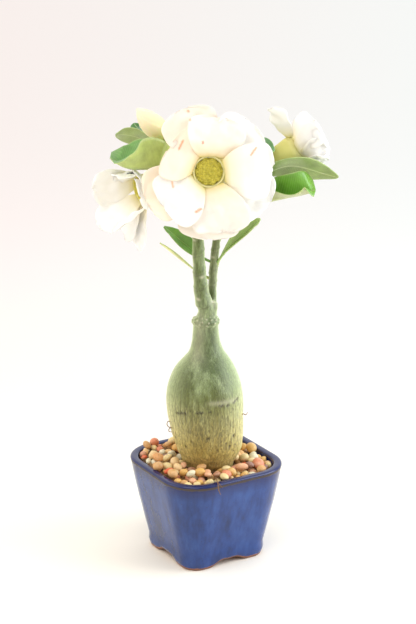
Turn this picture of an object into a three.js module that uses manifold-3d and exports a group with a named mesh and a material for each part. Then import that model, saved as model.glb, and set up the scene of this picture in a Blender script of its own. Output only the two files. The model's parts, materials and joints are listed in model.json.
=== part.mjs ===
// A potted desert rose (Adenium) in flower: a square glazed bonsai pot on four corner feet, potting soil
// with a gravel top dressing, a bottle-shaped caudex with two branches, leaves, three open double flowers
// and a bud.
// Millimetres, +Z up. The origin is on the surface that the pot stands on, under the middle of the pot.
// X and Y run square to the pot's sides. The plant is laid out in its own group, turned about Z in the pot:
// there u runs to the right and v away as the plant is looked at from its front.
import * as THREE from "three";
import { mergeVertices } from "three/addons/utils/BufferGeometryUtils.js";
import Module from "manifold-3d";

const wasm = await Module();
wasm.setup();

// ---------------------------------------------------------------- driving dimensions
const GAP = 0.3; // clearance that each separate piece keeps to its neighbour
const PLANT_TURN = THREE.MathUtils.degToRad(-31.25); // the plant's front, turned from the pot's -Y side

const POT_HEIGHT = 57;
const POT_FLOOR_TOP = 9;
const POT_UNDERSIDE = 3.6; // height of the recessed base between the feet
const FOOT_SPAN = 26; // width of the arch between two feet
const FOOT_ARCH_HEIGHT = 3.2;
const FOOT_WIDTH = 7.5; // how far a foot reaches in from the pot's side
const DRAIN_RADIUS = 5;
const CORNER_STEPS = 4;
// Outside of the pot, from the feet up: height, side length, corner radius.
const POT_OUTSIDE = [
  [0, 51.2, 9],
  [1.4, 53.2, 9.8],
  [4.5, 55, 10.6],
  [8, 54.8, 11],
  [14, 57.6, 12.2],
  [26, 63.2, 15],
  [40, 69.6, 18.2],
  [52, 74.2, 20.4],
  [54.6, 74.9, 20.8],
  [55.4, 75.7, 21.2],
  [56.4, 75.4, 21.2],
  [POT_HEIGHT, 73.8, 20.6],
];
// Inside of the pot, from the rim down.
const POT_INSIDE = [
  [POT_HEIGHT, 67.4, 17.6],
  [56.2, 66, 17],
  [50, 64, 16],
  [30, 56, 12],
  [13, 48, 9],
  [POT_FLOOR_TOP, 43, 7],
];

const SOIL_TOP = 52.4;
const GRAVEL_BED_TOP = 55; // in front, where it lies lowest
const GRAVEL_SLOPE = 0.055; // rise of the gravel towards the pot's back left
const PEBBLE_SPACING = 5.4; // least distance between two pebbles
const PEBBLE_SIZE = 6.6; // mean length of a pebble
const PEBBLE_TRIES = 1800;

// Caudex, root to neck: height, radius, sideways offset.
const CAUDEX = [
  [30, 2.5, 1.4],
  [38, 8.6, 1.4],
  [47, 12, 1.4],
  [54.6, 14.3, 1.4],
  [60, 16.8, 1.5],
  [65, 19.1, 1.6],
  [73, 20.8, 0.8],
  [83, 22, 0],
  [92, 22.5, -0.3],
  [100, 21.8, -0.4],
  [107, 19.8, -0.4],
  [113, 17, -0.3],
  [118, 13.4, 0.3],
  [122.5, 10, 0.5],
  [128, 8.1, 0.2],
  [134, 7.3, 0],
  [138.4, 7.1, 0],
  [139.8, 7.8, 0],
  [141.6, 7.4, 0],
  [143.2, 5.7, 0.5],
  [146, 5, 1],
];
const CAUDEX_SIDES = 20;
const CAUDEX_STEPS = 22;
const ROOT_COUNT = 3;

// Branches: centre line as [u, v, z], and radius at each point.
const LEFT_BRANCH = {
  line: [
    [1.6, 0, 141], [0.8, 0, 147], [-1.6, 0, 154], [-3, 0.4, 164],
    [-3.8, 1, 176], [-4.3, 2.6, 192], [-4.4, 5, 213],
  ],
  radii: [4.6, 4.9, 4.6, 3.9, 3.5, 3.3, 3.3],
};
const RIGHT_BRANCH = {
  line: [[3.4, 2.5, 144], [4, 6, 149], [3.9, 7.6, 158], [4.6, 8, 170], [6.4, 8.2, 188], [10.4, 8, 214]],
  radii: [2.4, 2.3, 2.4, 2.5, 2.3, 2.7],
};
const STALK_SIDES = 6;
const STALK_STEPS = 5;
const STUB = { line: [[1.4, 0.4, 143], [3, 0.6, 147], [3.7, 0.6, 151.6]], radii: [4.2, 3.7, 3.2] };

const LEAF_THICKNESS = 1;
const LEAF_GRID = [6, 4]; // facets along and across a leaf
const STALK_SHARE = 0.2; // share of a leaf's length that is its stalk
const FOLD_SHARE = 0.12; // share of a blade's length over which its halves fold up, and open at the tip
const PETIOLE_RADIUS = 1;
const PETAL_THICKNESS = 0.8;
const SEPAL_THICKNESS = 0.9;

const COLOURS = {
  pot: 0x2c4a86, soil: 0x2b211a, gravel: 0xd9b18c, stem: 0x8f9a62, leaf: 0x4f8a3c, petal: 0xf8f3ea,
  throat: 0xbdb635, calyx: 0xa9b95a, bud: 0xf3e6a6,
};

// ---------------------------------------------------------------- solids
const vec = (a) => new THREE.Vector3(...a);

/** A repeatable stream of numbers from 0 to 1. */
function seededRandom(seed) {
  let state = seed;
  return () => {
    state = (state + 0x6d2b79f5) | 0;
    let t = Math.imul(state ^ (state >>> 15), 1 | state);
    t = (t + Math.imul(t ^ (t >>> 7), 61 | t)) ^ t;
    return ((t ^ (t >>> 14)) >>> 0) / 4294967296;
  };
}

/** A closed solid from points and triangles, turned so that its faces point out. */
function solidOf(points, triangles) {
  const geometry = new THREE.BufferGeometry().setFromPoints(points);
  geometry.setIndex(triangles.flat());
  return solidOfGeometry(geometry);
}

function solidOfGeometry(source) {
  const bare = new THREE.BufferGeometry().setAttribute("position", source.getAttribute("position"));
  if (source.index) bare.setIndex(source.index);
  const merged = mergeVertices(bare, 1e-4);
  const corners = new Uint32Array(merged.index.array);
  const make = () =>
    new wasm.Manifold(
      new wasm.Mesh({ numProp: 3, vertProperties: merged.attributes.position.array, triVerts: corners }),
    );
  const made = make();
  if (made.volume() >= 0) return made;
  for (let i = 0; i < corners.length; i += 3)
    [corners[i + 1], corners[i + 2]] = [corners[i + 2], corners[i + 1]];
  return make();
}

/** Skins a stack of rings, each with the same number of points, and closes both ends with a fan. */
function skin(rings) {
  const count = rings[0].length;
  const points = rings.flat();
  const triangles = [];
  for (let level = 0; level < rings.length - 1; level++)
    for (let i = 0; i < count; i++) {
      const [a, b] = [level * count + i, level * count + ((i + 1) % count)];
      triangles.push([a, b, b + count], [a, b + count, a + count]);
    }
  for (const [ring, turned] of [[0, true], [rings.length - 1, false]]) {
    const middle = rings[ring].reduce((sum, p) => sum.add(p), new THREE.Vector3()).divideScalar(count);
    points.push(middle);
    for (let i = 0; i < count; i++) {
      const [a, b] = [ring * count + i, ring * count + ((i + 1) % count)];
      triangles.push(turned ? [b, a, points.length - 1] : [a, b, points.length - 1]);
    }
  }
  return solidOf(points, triangles);
}

/** A tube along a smooth line through points, with a radius at each of them. */
function tube({ line, radii }, sides, steps, grow = 0) {
  const curve = new THREE.CatmullRomCurve3(line.map(vec), false, "centripetal");
  const frames = curve.computeFrenetFrames(steps, false);
  const rings = [];
  for (let step = 0; step <= steps; step++) {
    const share = (step / steps) * (radii.length - 1);
    const index = Math.min(Math.floor(share), radii.length - 2);
    const radius = THREE.MathUtils.lerp(radii[index], radii[index + 1], share - index) + grow;
    const centre = curve.getPoint(step / steps);
    rings.push(
      Array.from({ length: sides }, (_, i) => {
        const angle = (i / sides) * 2 * Math.PI;
        return centre
          .clone()
          .addScaledVector(frames.normals[step], Math.cos(angle) * radius)
          .addScaledVector(frames.binormals[step], Math.sin(angle) * radius);
      }),
    );
  }
  return skin(rings);
}

/** A thin closed blade over surface(s, t), s from 0 to 1 along it and t from -1 to 1 across it. */
function blade(surface, along, across, thickness) {
  const half = [[], []];
  for (let i = 0; i <= along; i++)
    for (let j = 0; j <= across; j++) {
      const [s, t] = [i / along, (2 * j) / across - 1];
      const step = 0.02;
      const ds = surface(Math.min(s + step, 1), t).sub(surface(Math.max(s - step, 0), t));
      const dt = surface(s, Math.min(t + step, 1)).sub(surface(s, Math.max(t - step, -1)));
      const normal = ds.cross(dt).normalize();
      const middle = surface(s, t);
      const depth = (typeof thickness === "function" ? thickness(s) : thickness) / 2;
      half[0].push(middle.clone().addScaledVector(normal, depth));
      half[1].push(middle.clone().addScaledVector(normal, -depth));
    }
  const row = across + 1;
  const below = (along + 1) * row;
  const triangles = [];
  for (let i = 0; i < along; i++)
    for (let j = 0; j < across; j++) {
      const a = i * row + j;
      const faces = [[a, a + row, a + row + 1], [a, a + row + 1, a + 1]];
      for (const [p, q, r] of faces) triangles.push([p, q, r], [p + below, r + below, q + below]);
    }
  const wall = (a, b) => triangles.push([a, b, b + below], [a, b + below, a + below]);
  for (let j = 0; j < across; j++) {
    wall(j, j + 1);
    wall(along * row + j + 1, along * row + j);
  }
  for (let i = 0; i < along; i++) {
    wall((i + 1) * row, i * row);
    wall(i * row + across, (i + 1) * row + across);
  }
  return solidOf([...half[0], ...half[1]], triangles);
}

function meshOf(name, solid, colour, roughness) {
  const { vertProperties, triVerts } = solid.getMesh();
  const geometry = new THREE.BufferGeometry();
  geometry.setAttribute("position", new THREE.BufferAttribute(new Float32Array(vertProperties), 3));
  geometry.setIndex(new THREE.BufferAttribute(new Uint32Array(triVerts), 1));
  geometry.computeVertexNormals();
  const mesh = new THREE.Mesh(geometry, new THREE.MeshStandardMaterial({ color: colour, roughness }));
  mesh.name = name;
  return mesh;
}

/** The largest body of a solid: what cutting leaves loose beside it is dropped. */
function mainBody(solid) {
  return solid.decompose().reduce((best, body) => (body.volume() > best.volume() ? body : best));
}

// ---------------------------------------------------------------- pot, soil and gravel
function roundedSquare([z, side, radius], grow = 0) {
  const reach = side / 2 - radius;
  const ring = [];
  for (let corner = 0; corner < 4; corner++)
    for (let i = 0; i <= CORNER_STEPS; i++) {
      const angle = ((corner + i / CORNER_STEPS) * Math.PI) / 2;
      const [cx, cy] = [[1, 1], [-1, 1], [-1, -1], [1, -1]][corner];
      ring.push(
        new THREE.Vector3(
          cx * reach + Math.cos(angle) * (radius + grow),
          cy * reach + Math.sin(angle) * (radius + grow),
          z,
        ),
      );
    }
  return ring;
}

/** The space inside the pot, made smaller by inset all round and cut off between two heights. */
function potInside(inset, low, high) {
  const stations = [...POT_INSIDE].reverse();
  const at = (z) => {
    const i = Math.max(1, stations.findIndex((s) => s[0] >= z));
    const [a, b] = [stations[i - 1], stations[i]];
    const share = (z - a[0]) / (b[0] - a[0]);
    return [z, THREE.MathUtils.lerp(a[1], b[1], share), THREE.MathUtils.lerp(a[2], b[2], share)];
  };
  const levels = [low, ...stations.map((s) => s[0]).filter((z) => z > low && z < high), high];
  return skin(levels.map((z) => roundedSquare(at(Math.min(z, POT_HEIGHT)), -inset).map((p) => p.setZ(z))));
}

function makePot() {
  const shell = skin([...POT_OUTSIDE, ...POT_INSIDE].map((s) => roundedSquare(s)));
  // An S-curved arch in the middle of each side leaves a foot at every corner.
  const half = FOOT_SPAN / 2;
  const arch = new THREE.Shape();
  arch.moveTo(-half, -1);
  arch.lineTo(-half, 0);
  arch.bezierCurveTo(-half * 0.72, 0.1, -half * 0.66, FOOT_ARCH_HEIGHT, -half * 0.3, FOOT_ARCH_HEIGHT);
  arch.lineTo(half * 0.3, FOOT_ARCH_HEIGHT);
  arch.bezierCurveTo(half * 0.66, FOOT_ARCH_HEIGHT, half * 0.72, 0.1, half, 0);
  arch.lineTo(half, -1);
  const span = 80;
  const cut = new THREE.ExtrudeGeometry(arch, { depth: span, bevelEnabled: false, curveSegments: 5 });
  cut.translate(0, 0, -span / 2).rotateX(Math.PI / 2);
  const archway = solidOfGeometry(cut);
  const inner = POT_OUTSIDE[1][1] - 2 * FOOT_WIDTH;
  const recess = skin([
    roundedSquare([-1, inner, 6]),
    roundedSquare([POT_UNDERSIDE, inner - 2, 5]),
  ]);
  const drain = solidOfGeometry(
    new THREE.CylinderGeometry(DRAIN_RADIUS, DRAIN_RADIUS, 20, 16).rotateX(Math.PI / 2).translate(0, 0, 8),
  );
  return shell.subtract(archway).subtract(archway.rotate([0, 0, 90])).subtract(recess).subtract(drain);
}

/** How far a point lies inside the pot's mouth. */
function depthInMouth(x, y) {
  const [, side, radius] = POT_INSIDE[1];
  const reach = side / 2 - radius;
  const [qx, qy] = [Math.abs(x) - reach, Math.abs(y) - reach];
  return radius - Math.hypot(Math.max(qx, 0), Math.max(qy, 0)) - Math.min(Math.max(qx, qy), 0);
}

/** Gravel: a sloping bed over the soil with pebbles half sunk in it, strewn with a least spacing. */
function makeGravel(caudexHole) {
  const random = seededRandom(11);
  const jitter = (size) => (random() - 0.5) * size;
  const rise = (x, y) => GRAVEL_SLOPE * Math.max(0, y - 0.5 * x + 24);
  const places = [];
  const pebbles = [];
  for (let attempt = 0; attempt < PEBBLE_TRIES; attempt++) {
    const [px, py] = [jitter(POT_INSIDE[1][1]), jitter(POT_INSIDE[1][1])];
    if (depthInMouth(px, py) < PEBBLE_SIZE * 0.3 || Math.hypot(px, py) < 13) continue;
    if (places.some(([x, y]) => Math.hypot(px - x, py - y) < PEBBLE_SPACING)) continue;
    places.push([px, py]);
    const size = PEBBLE_SIZE * (0.84 + random() * 0.32);
    const height = GRAVEL_BED_TOP + rise(px, py) + 0.9 + jitter(1.4);
    const stone = new THREE.IcosahedronGeometry(size / 2, 0);
    stone.scale(1, 0.84, 0.74);
    pebbles.push(
      solidOfGeometry(stone).rotate([jitter(50), jitter(50), random() * 180]).translate([px, py, height]),
    );
  }
  // The bed is level in front and slopes up behind, under the same rise as its pebbles.
  const normal = new THREE.Vector3(-0.5 * GRAVEL_SLOPE, GRAVEL_SLOPE, -1);
  const offset = -(GRAVEL_BED_TOP + 24 * GRAVEL_SLOPE) / normal.length();
  const room = potInside(GAP, SOIL_TOP + GAP, POT_HEIGHT + 12);
  const slope = room.trimByPlane(normal.normalize().toArray(), offset);
  const bed = potInside(GAP, SOIL_TOP + GAP, GRAVEL_BED_TOP);
  return mainBody(wasm.Manifold.union([bed, slope, ...pebbles]).intersect(room).subtract(caudexHole));
}

// ---------------------------------------------------------------- caudex and branches
/** The caudex and both branches as one grown body, made larger all round by grow. */
function makeStem(grow = 0) {
  const spline = new THREE.CatmullRomCurve3(CAUDEX.map(([z, r, u]) => new THREE.Vector3(r, u, z)));
  const rings = [];
  for (let step = 0; step <= CAUDEX_STEPS; step++) {
    const { x: r, y: u, z } = spline.getPoint(step / CAUDEX_STEPS);
    rings.push(
      Array.from({ length: CAUDEX_SIDES }, (_, i) => {
        const angle = (i / CAUDEX_SIDES) * 2 * Math.PI;
        const swell = 1 + 0.018 * Math.sin(2 * angle + z / 19) + 0.014 * Math.sin(3 * angle - z / 13);
        const radius = r * swell + grow;
        return new THREE.Vector3(u + radius * Math.cos(angle), radius * Math.sin(angle), z);
      }),
    );
  }
  const roots = Array.from({ length: ROOT_COUNT }, (_, i) => {
    const turn = (i / ROOT_COUNT) * 2 * Math.PI + 0.5;
    const point = (out, z, bend) => [1.4 + Math.cos(turn + bend) * out, Math.sin(turn + bend) * out, z];
    const tip = point(16, 18 + 1.5 * (i % 2), 0.6);
    const line = [point(4, 40, 0), point(10, 34, 0.1), point(15, 27, 0.35), tip];
    return tube({ line, radii: [3.4, 2.6, 1.8, 0.9] }, 5, 3, grow);
  });
  return wasm.Manifold.union([
    skin(rings),
    tube(LEFT_BRANCH, 12, 12, grow),
    tube(RIGHT_BRANCH, 10, 9, grow),
    tube(STUB, 12, 4, grow),
    ...roots,
  ]);
}

// ---------------------------------------------------------------- leaves
/** The cubic curve that passes through four points, the middle two at a third and two thirds of it. */
function curveThrough(points) {
  const [a, b, c, d] = points.map(vec);
  const mix = (...shares) =>
    [a, b, c, d].reduce((sum, p, i) => sum.addScaledVector(p, shares[i] / 6), new THREE.Vector3());
  return new THREE.CubicBezierCurve3(a, mix(-5, 18, -9, 2), mix(2, -9, 18, -5), d);
}

/**
 * A leaf on a short stalk. Its midrib passes through line's four points. left and right say how
 * steeply each half of the blade stands up from the horizontal, at its base, middle and tip, as seen
 * from the stalk. The stalk is flat, the halves fold up where the blade begins, at stalk's share of
 * the length, and they open flat again in the last of the tip. The blade is widest at widest's share
 * of what is left; a lower taper makes its ends blunter.
 */
function leafSurface({ line, left, right, halfWidth, stalk = STALK_SHARE, widest = 0.62, taper = 0.72 }) {
  const curve = curveThrough(line);
  const power = Math.log(0.5) / Math.log(widest);
  const narrow = PETIOLE_RADIUS * 0.8;
  const bent = ([base, middle, tip], share) =>
    base * (1 - share) * (1 - 2 * share) + middle * 4 * share * (1 - share) + tip * share * (2 * share - 1);
  return (s, t) => {
    const along = curve.getTangent(s);
    const side = new THREE.Vector3(along.y, -along.x, 0).normalize();
    const up = side.clone().cross(along);
    const share = Math.max(0, (s - stalk) / (1 - stalk));
    const [mine, other] = t < 0 ? [left, right] : [right, left];
    const flat = (bent(mine, share) - bent(other, share)) / 2;
    const folded = Math.min(share, FOLD_SHARE, 1 - share) / FOLD_SHARE;
    const outline = Math.pow(Math.max(0, Math.sin(Math.PI * Math.pow(share, power))), taper);
    const reach = Math.abs(t) * (narrow + (halfWidth - narrow) * outline);
    const turn = THREE.MathUtils.degToRad(THREE.MathUtils.lerp(flat, bent(mine, share), folded));
    return curve
      .getPoint(s)
      .addScaledVector(side, Math.sign(t) * reach * Math.cos(turn))
      .addScaledVector(up, reach * Math.sin(turn));
  };
}

function makeLeaf(spec) {
  const stalk = spec.stalk ?? STALK_SHARE;
  const thickness = (s) => THREE.MathUtils.lerp(2 * PETIOLE_RADIUS, LEAF_THICKNESS, Math.min(1, s / stalk));
  return blade(leafSurface(spec), ...(spec.grid ?? LEAF_GRID), thickness);
}

const LEAVES = {
  // Round the tip of the left branch.
  leaf_left_near: {
    line: [[-5.6, 1.8, 200], [-22.4, -11.8, 228.4], [-36, -17.5, 232.2], [-51.3, -21.1, 239.2]],
    left: [94, 73, 21], right: [74, 50, 41], halfWidth: 17.9,
    stalk: 0.35, widest: 0.39, taper: 0.22, grid: [14, 4],
  },
  leaf_left_far: {
    line: [[-5.8, 7.6, 203], [-21.6, 15.4, 230.4], [-36.5, 15, 242.8], [-49.2, 4.6, 246.9]],
    left: [45, 34, 75], right: [-16, -56, -32], halfWidth: 6.4, stalk: 0.3,
  },
  leaf_left_top: {
    line: [[-2.2, 7, 206], [-21.5, 23.8, 232.6], [-34, 20.6, 243.6], [-39.8, 19.2, 250.2]],
    left: [-38, -12, -22], right: [48, 36, 32], halfWidth: 6, widest: 0.58, taper: 0.66,
  },
  leaf_left_low: {
    line: [[-4.6, 4.5, 190], [-9, 9, 193], [-14, 13, 197], [-20.5, 14, 201]],
    left: [0, -7, -7], right: [40, 47, 47], halfWidth: 4.5,
  },
  leaf_left_back: {
    line: [[-3, 7.5, 196], [-5, 20, 211], [-10, 32, 222], [-17, 46, 223]],
    left: [20, 20, 10], right: [20, 20, 10], halfWidth: 10,
  },
  // Round the tip of the right branch.
  leaf_right_long: {
    line: [[10.8, 6.6, 207.5], [36.5, -8, 229.4], [51.9, -5, 231.1], [73.2, -3.6, 224.7]],
    left: [-38, -59, -41], right: [58, 36, 64], halfWidth: 10.8, widest: 0.54, taper: 0.74,
  },
  leaf_right_near: {
    line: [[10.2, 6.2, 201], [34, -5, 210.9], [49.5, -10.5, 215.5], [60, -12.7, 219]],
    left: [53, 101, 68], right: [93, 18, 45], halfWidth: 13.8,
    stalk: 0.26, widest: 0.6, taper: 0.15, grid: [14, 4],
  },
  leaf_right_upright: {
    line: [[9, 9.6, 210.5], [26.6, 6.9, 238.9], [32.2, -2.5, 241.2], [37.3, -13.5, 241.8]],
    left: [64, 65, 47], right: [-52, -27, -28], halfWidth: 5.4, widest: 0.67,
  },
  leaf_right_back: {
    line: [[9.6, 9.6, 204.5], [14, 21, 218], [21, 34, 227], [31, 47, 225]],
    left: [20, 20, 10], right: [20, 20, 10], halfWidth: 10,
  },
  // Slender leaves lower down on the right branch.
  leaf_low_left_broad: {
    line: [[3.6, 8.6, 173], [-2.3, 9.4, 175.5], [-12.1, 13.9, 181.9], [-23.6, 15.4, 191.5]],
    left: [-21, -7, -16], right: [52, 73, 41], halfWidth: 5.4, stalk: 0.3, widest: 0.54, taper: 0.77,
  },
  leaf_low_left_thin: {
    line: [[3.2, 8.8, 162.6], [-5.5, 11, 166.8], [-15.5, 14, 173.8], [-26, 16, 181.8]],
    left: [30, 34, 30], right: [0, 4, 0], halfWidth: 3, stalk: 0.36,
  },
  leaf_low_right: {
    line: [[6.4, 7.6, 170.5], [12.1, 5.9, 180.4], [21.9, 6.6, 188.7], [30.5, 4.1, 198.9]],
    left: [85, 88, 78], right: [-14, 10, -22], halfWidth: 6.8, widest: 0.65, taper: 0.88,
  },
  leaf_mid_right: {
    line: [[7.2, 8.8, 184], [11, 11, 191], [16, 14, 196.5], [22.5, 16, 201]],
    left: [60, 60, 60], right: [0, 0, 0], halfWidth: 4, stalk: 0.24,
  },
};

// ---------------------------------------------------------------- flowers
/**
 * A petal in the flower's frame, whose +Z is where the flower faces. It leaves the throat's edge at
 * its angle, climbs by rise[0] degrees there and rise[1] at its tip. cup lifts both its edges, tilt
 * one of them, and ruffle waves them.
 */
function petalSurface({ angle, root, length, halfWidth, rise, cup = 0.25, tilt = 0.16, ruffle, phase }) {
  const [r0, h0] = root;
  const direction = THREE.MathUtils.degToRad(angle);
  const outward = new THREE.Vector3(Math.cos(direction), Math.sin(direction), 0);
  const side = new THREE.Vector3(-outward.y, outward.x, 0);
  const climbs = rise.map(THREE.MathUtils.degToRad);
  const climb = (s) => climbs[0] + (climbs[1] - climbs[0]) * Math.pow(s, 0.8);
  const steps = 24;
  const midrib = [[r0, h0]];
  for (let i = 0; i < steps; i++) {
    const e = climb((i + 0.5) / steps);
    const [r, h] = midrib[i];
    midrib.push([r + (Math.cos(e) * length) / steps, h + (Math.sin(e) * length) / steps]);
  }
  return (s, t) => {
    const place = s * steps;
    const index = Math.min(Math.floor(place), steps - 1);
    const [a, b] = [midrib[index], midrib[index + 1]];
    const [r, h] = [0, 1].map((k) => a[k] + (b[k] - a[k]) * (place - index));
    const e = climb(s);
    const widest = 0.68;
    const opening = 0.36 + 0.64 * Math.sin((Math.min(1, s / widest) * Math.PI) / 2);
    const beyond = Math.max(0, s - widest) / (1 - widest);
    const closing = Math.sqrt(Math.max(0.04, 1 - Math.pow(beyond, 2.6)));
    const width = halfWidth * opening * closing;
    const edge = Math.pow(Math.abs(t), 1.6) * s;
    const wave = ruffle * edge * Math.sin(7.5 * s + phase + (t > 0 ? 0 : 2.3));
    const lift = width * (cup * t * t + tilt * t) + wave;
    return new THREE.Vector3()
      .addScaledVector(outward, r - Math.sin(e) * lift)
      .addScaledVector(side, width * t)
      .setZ(h + Math.cos(e) * lift);
  };
}

/** Rings round the flower's axis for a profile of [radius, height]. */
function ringsOf(profile, sides, lobe = () => 1) {
  return profile.map(([radius, z]) =>
    Array.from({ length: sides }, (_, i) => {
      const angle = (i / sides) * 2 * Math.PI;
      const r = radius * lobe(angle, z);
      return new THREE.Vector3(Math.cos(angle) * r, Math.sin(angle) * r, z);
    }),
  );
}

const THROAT_RADIUS = 7.8;
const TUBE_LENGTH = 25;
const TUBE_SIDES = 10;
const RECEPTACLE_SIDES = 8;
// Outside of the flower's tube from its base, then inside from the rim down: radius, height.
const TUBE_OUTSIDE = [
  [1.9, -TUBE_LENGTH], [2.7, -21.5], [4.8, -17], [6.7, -11.5], [8, -5], [THROAT_RADIUS + 1, 0.4],
];
const TUBE_INSIDE = [[THROAT_RADIUS, 0.2], [7.2, -3], [5.6, -8], [3, -12]];
const STAMENS = [[2.4, -11.4], [6.5, -3.4], [6.9, -0.8], [5.4, 0.5], [2.6, 1.1]];

function tubeSolid(grow = 0) {
  return skin(ringsOf(TUBE_OUTSIDE.map(([r, z]) => [r + grow, z - (z < -20 ? grow : 0)]), TUBE_SIDES));
}

function makeCorolla({ petals, grid }) {
  const shell = skin(ringsOf([...TUBE_OUTSIDE, ...TUBE_INSIDE], TUBE_SIDES));
  const blades = petals.map((p) => blade(petalSurface(p), ...grid, PETAL_THICKNESS));
  return mainBody(wasm.Manifold.union([shell, ...blades]));
}

/** Ten anther tips crowded into a fluted button in the throat. */
function makeStamens() {
  return skin(ringsOf(STAMENS, 20, (angle, z) => 1 - (z > -5 ? 0.09 : 0) * (1 - Math.cos(10 * angle))));
}

/** Flower stalk, receptacle and five pointed sepals round the foot of the tube. */
function makeCalyx(place) {
  const sepals = Array.from({ length: 5 }, (_, i) =>
    blade(
      petalSurface({
        angle: i * 72 + 20, root: [1.6, -TUBE_LENGTH - 0.6], length: 8, halfWidth: 2,
        rise: [58, 84], cup: 0.3, tilt: 0, ruffle: 0, phase: 0,
      }),
      2, 2, SEPAL_THICKNESS,
    ),
  );
  const cup = skin(
    ringsOf([[1.5, -TUBE_LENGTH - 4], [2.9, -TUBE_LENGTH - 2], [3.1, -TUBE_LENGTH + 1.4]], RECEPTACLE_SIDES),
  );
  const head = wasm.Manifold.union([cup, ...sepals]).subtract(tubeSolid(GAP));
  return wasm.Manifold.union([placed(head, place), tube(place.stalk, STALK_SIDES, STALK_STEPS)]);
}

/** A flower's frame as a matrix: +Z along its axis, its X level, its Y up. */
function frameOf({ throat, axis }) {
  const z = vec(axis).normalize();
  const x = new THREE.Vector3(0, 0, 1).cross(z).normalize();
  return new THREE.Matrix4().makeBasis(x, z.clone().cross(x), z).setPosition(...throat);
}

function placed(solid, place) {
  return solid.transform(frameOf(place).elements);
}

/** A flower stalk's line, from the branch to the receptacle, which it meets along the axis. */
function stalkLine({ throat, axis, from }) {
  const back = (distance) => vec(throat).addScaledVector(vec(axis).normalize(), -distance);
  const end = back(TUBE_LENGTH + 2.2);
  const before = back(TUBE_LENGTH + 6);
  const middle = vec(from).lerp(before, 0.55).add(new THREE.Vector3(0, 0, 1));
  return { line: [from, middle.toArray(), before.toArray(), end.toArray()], radii: [1.5, 1.3, 1.3, 1.7] };
}

const OUTER_ROOT = [THROAT_RADIUS + 0.6, -1.6];
const INNER_ROOT = [THROAT_RADIUS + 0.5, -0.4];

// How a wide open bloom's petals lie: hardly cupped or tilted.
const FLAT = { cup: 0.1, tilt: 0.1 };
const NEARLY_FLAT = { cup: 0.12, tilt: 0.12 };

/** Petals of one whorl: own values for each petal over what the whorl shares. */
const whorl = (shared, own) => own.map((values, i) => ({ ...shared, phase: i * 1.7, ...values }));

const FRONT_FLOWER = {
  throat: [1.9, -23, 232], axis: [0.04, -1, 0.1], from: [-2.9, 2.8, 212], grid: [6, 4],
  petals: [
    ...whorl({ root: OUTER_ROOT, length: 28, halfWidth: 17, rise: [12, -12], ruffle: 0.9, ...FLAT }, [
      { angle: -90, length: 29, rise: [10, -12] },
      { angle: -30, length: 29, halfWidth: 15, rise: [4, -12] },
      { angle: 48, length: 28 },
      { angle: 112, length: 28, halfWidth: 15.5 },
      { angle: 204, length: 29, halfWidth: 15, rise: [14, -4] },
    ]),
    ...whorl({ root: INNER_ROOT, length: 25, halfWidth: 16, rise: [52, -30], ruffle: 1, ...NEARLY_FLAT }, [
      { angle: -76, length: 27, rise: [40, -30] },
      { angle: 2, length: 28 },
      { angle: 80, length: 24, rise: [60, -40] },
      { angle: 146, length: 18 },
      { angle: 218, length: 24, rise: [44, -20] },
    ]),
  ],
};
const LEFT_FLOWER = {
  throat: [-35.2, -8.6, 218.5], axis: [-0.84, -0.56, -0.2], from: [-7, 5.2, 209], grid: [4, 3],
  petals: [
    ...whorl({ root: OUTER_ROOT, length: 27, halfWidth: 11, rise: [34, 4], cup: 0.15, ruffle: 1 }, [
      { angle: -100, length: 28, halfWidth: 9, rise: [18, 12] },
      { angle: -70, length: 28, halfWidth: 12, rise: [66, 84] },
      { angle: 40, length: 10, rise: [40, 50] },
      { angle: 92, length: 16, halfWidth: 9, rise: [66, 78] },
      { angle: 160, length: 25, rise: [64, 84] },
    ]),
    ...whorl({ root: INNER_ROOT, length: 21, halfWidth: 9, rise: [62, 20], ruffle: 1.2, cup: 0.15 }, [
      { angle: -120, length: 26, rise: [22, 12] },
      { angle: -130, length: 27, halfWidth: 10, rise: [56, 66] },
      { angle: 8, length: 9.5, rise: [66, 64] },
      { angle: 110, length: 12, rise: [68, 70] },
    ]),
  ],
};
const RIGHT_FLOWER = {
  throat: [50.4, 3, 239.15], axis: [0.86, 0.2, 0.42], from: [11.6, 7.6, 211.6], grid: [4, 3],
  petals: [
    ...whorl({ root: OUTER_ROOT, length: 18, halfWidth: 10.5, rise: [40, 24], cup: 0.15, ruffle: 1 }, [
      { angle: 100, length: 21, halfWidth: 6.5, rise: [-14, 4], tilt: 0.6 },
      { angle: 165, length: 17, rise: [60, 66] },
      { angle: 236, length: 15, rise: [66, 74] },
      { angle: -56, length: 14, rise: [64, 74] },
      { angle: 20, length: 13, rise: [52, 60] },
    ]),
    ...whorl({ root: INNER_ROOT, length: 17, halfWidth: 9.5, rise: [60, 50], ruffle: 1.2, cup: 0.15 }, [
      { angle: 136, length: 17, halfWidth: 11, rise: [50, 60] },
      { angle: 197, length: 15, rise: [66, 70] },
      { angle: 341, length: 12, rise: [66, 70] },
      { angle: 64, length: 15 },
    ]),
  ],
};
for (const flower of [FRONT_FLOWER, LEFT_FLOWER, RIGHT_FLOWER]) flower.stalk = stalkLine(flower);

// A closed bud: petals rolled into a twisted spindle with a blunt oblique point, on its own stalk.
const BUD_SIDES = 10;
const BUD = { base: [-18.5, 1, 242], tip: [-37.4, -2, 262.3], from: [-3.2, 7, 212], radius: 6.2 };

function budFrame() {
  const [base, tip] = [vec(BUD.base), vec(BUD.tip)];
  return { throat: BUD.base, axis: tip.clone().sub(base).toArray(), length: tip.distanceTo(base) };
}

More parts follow.
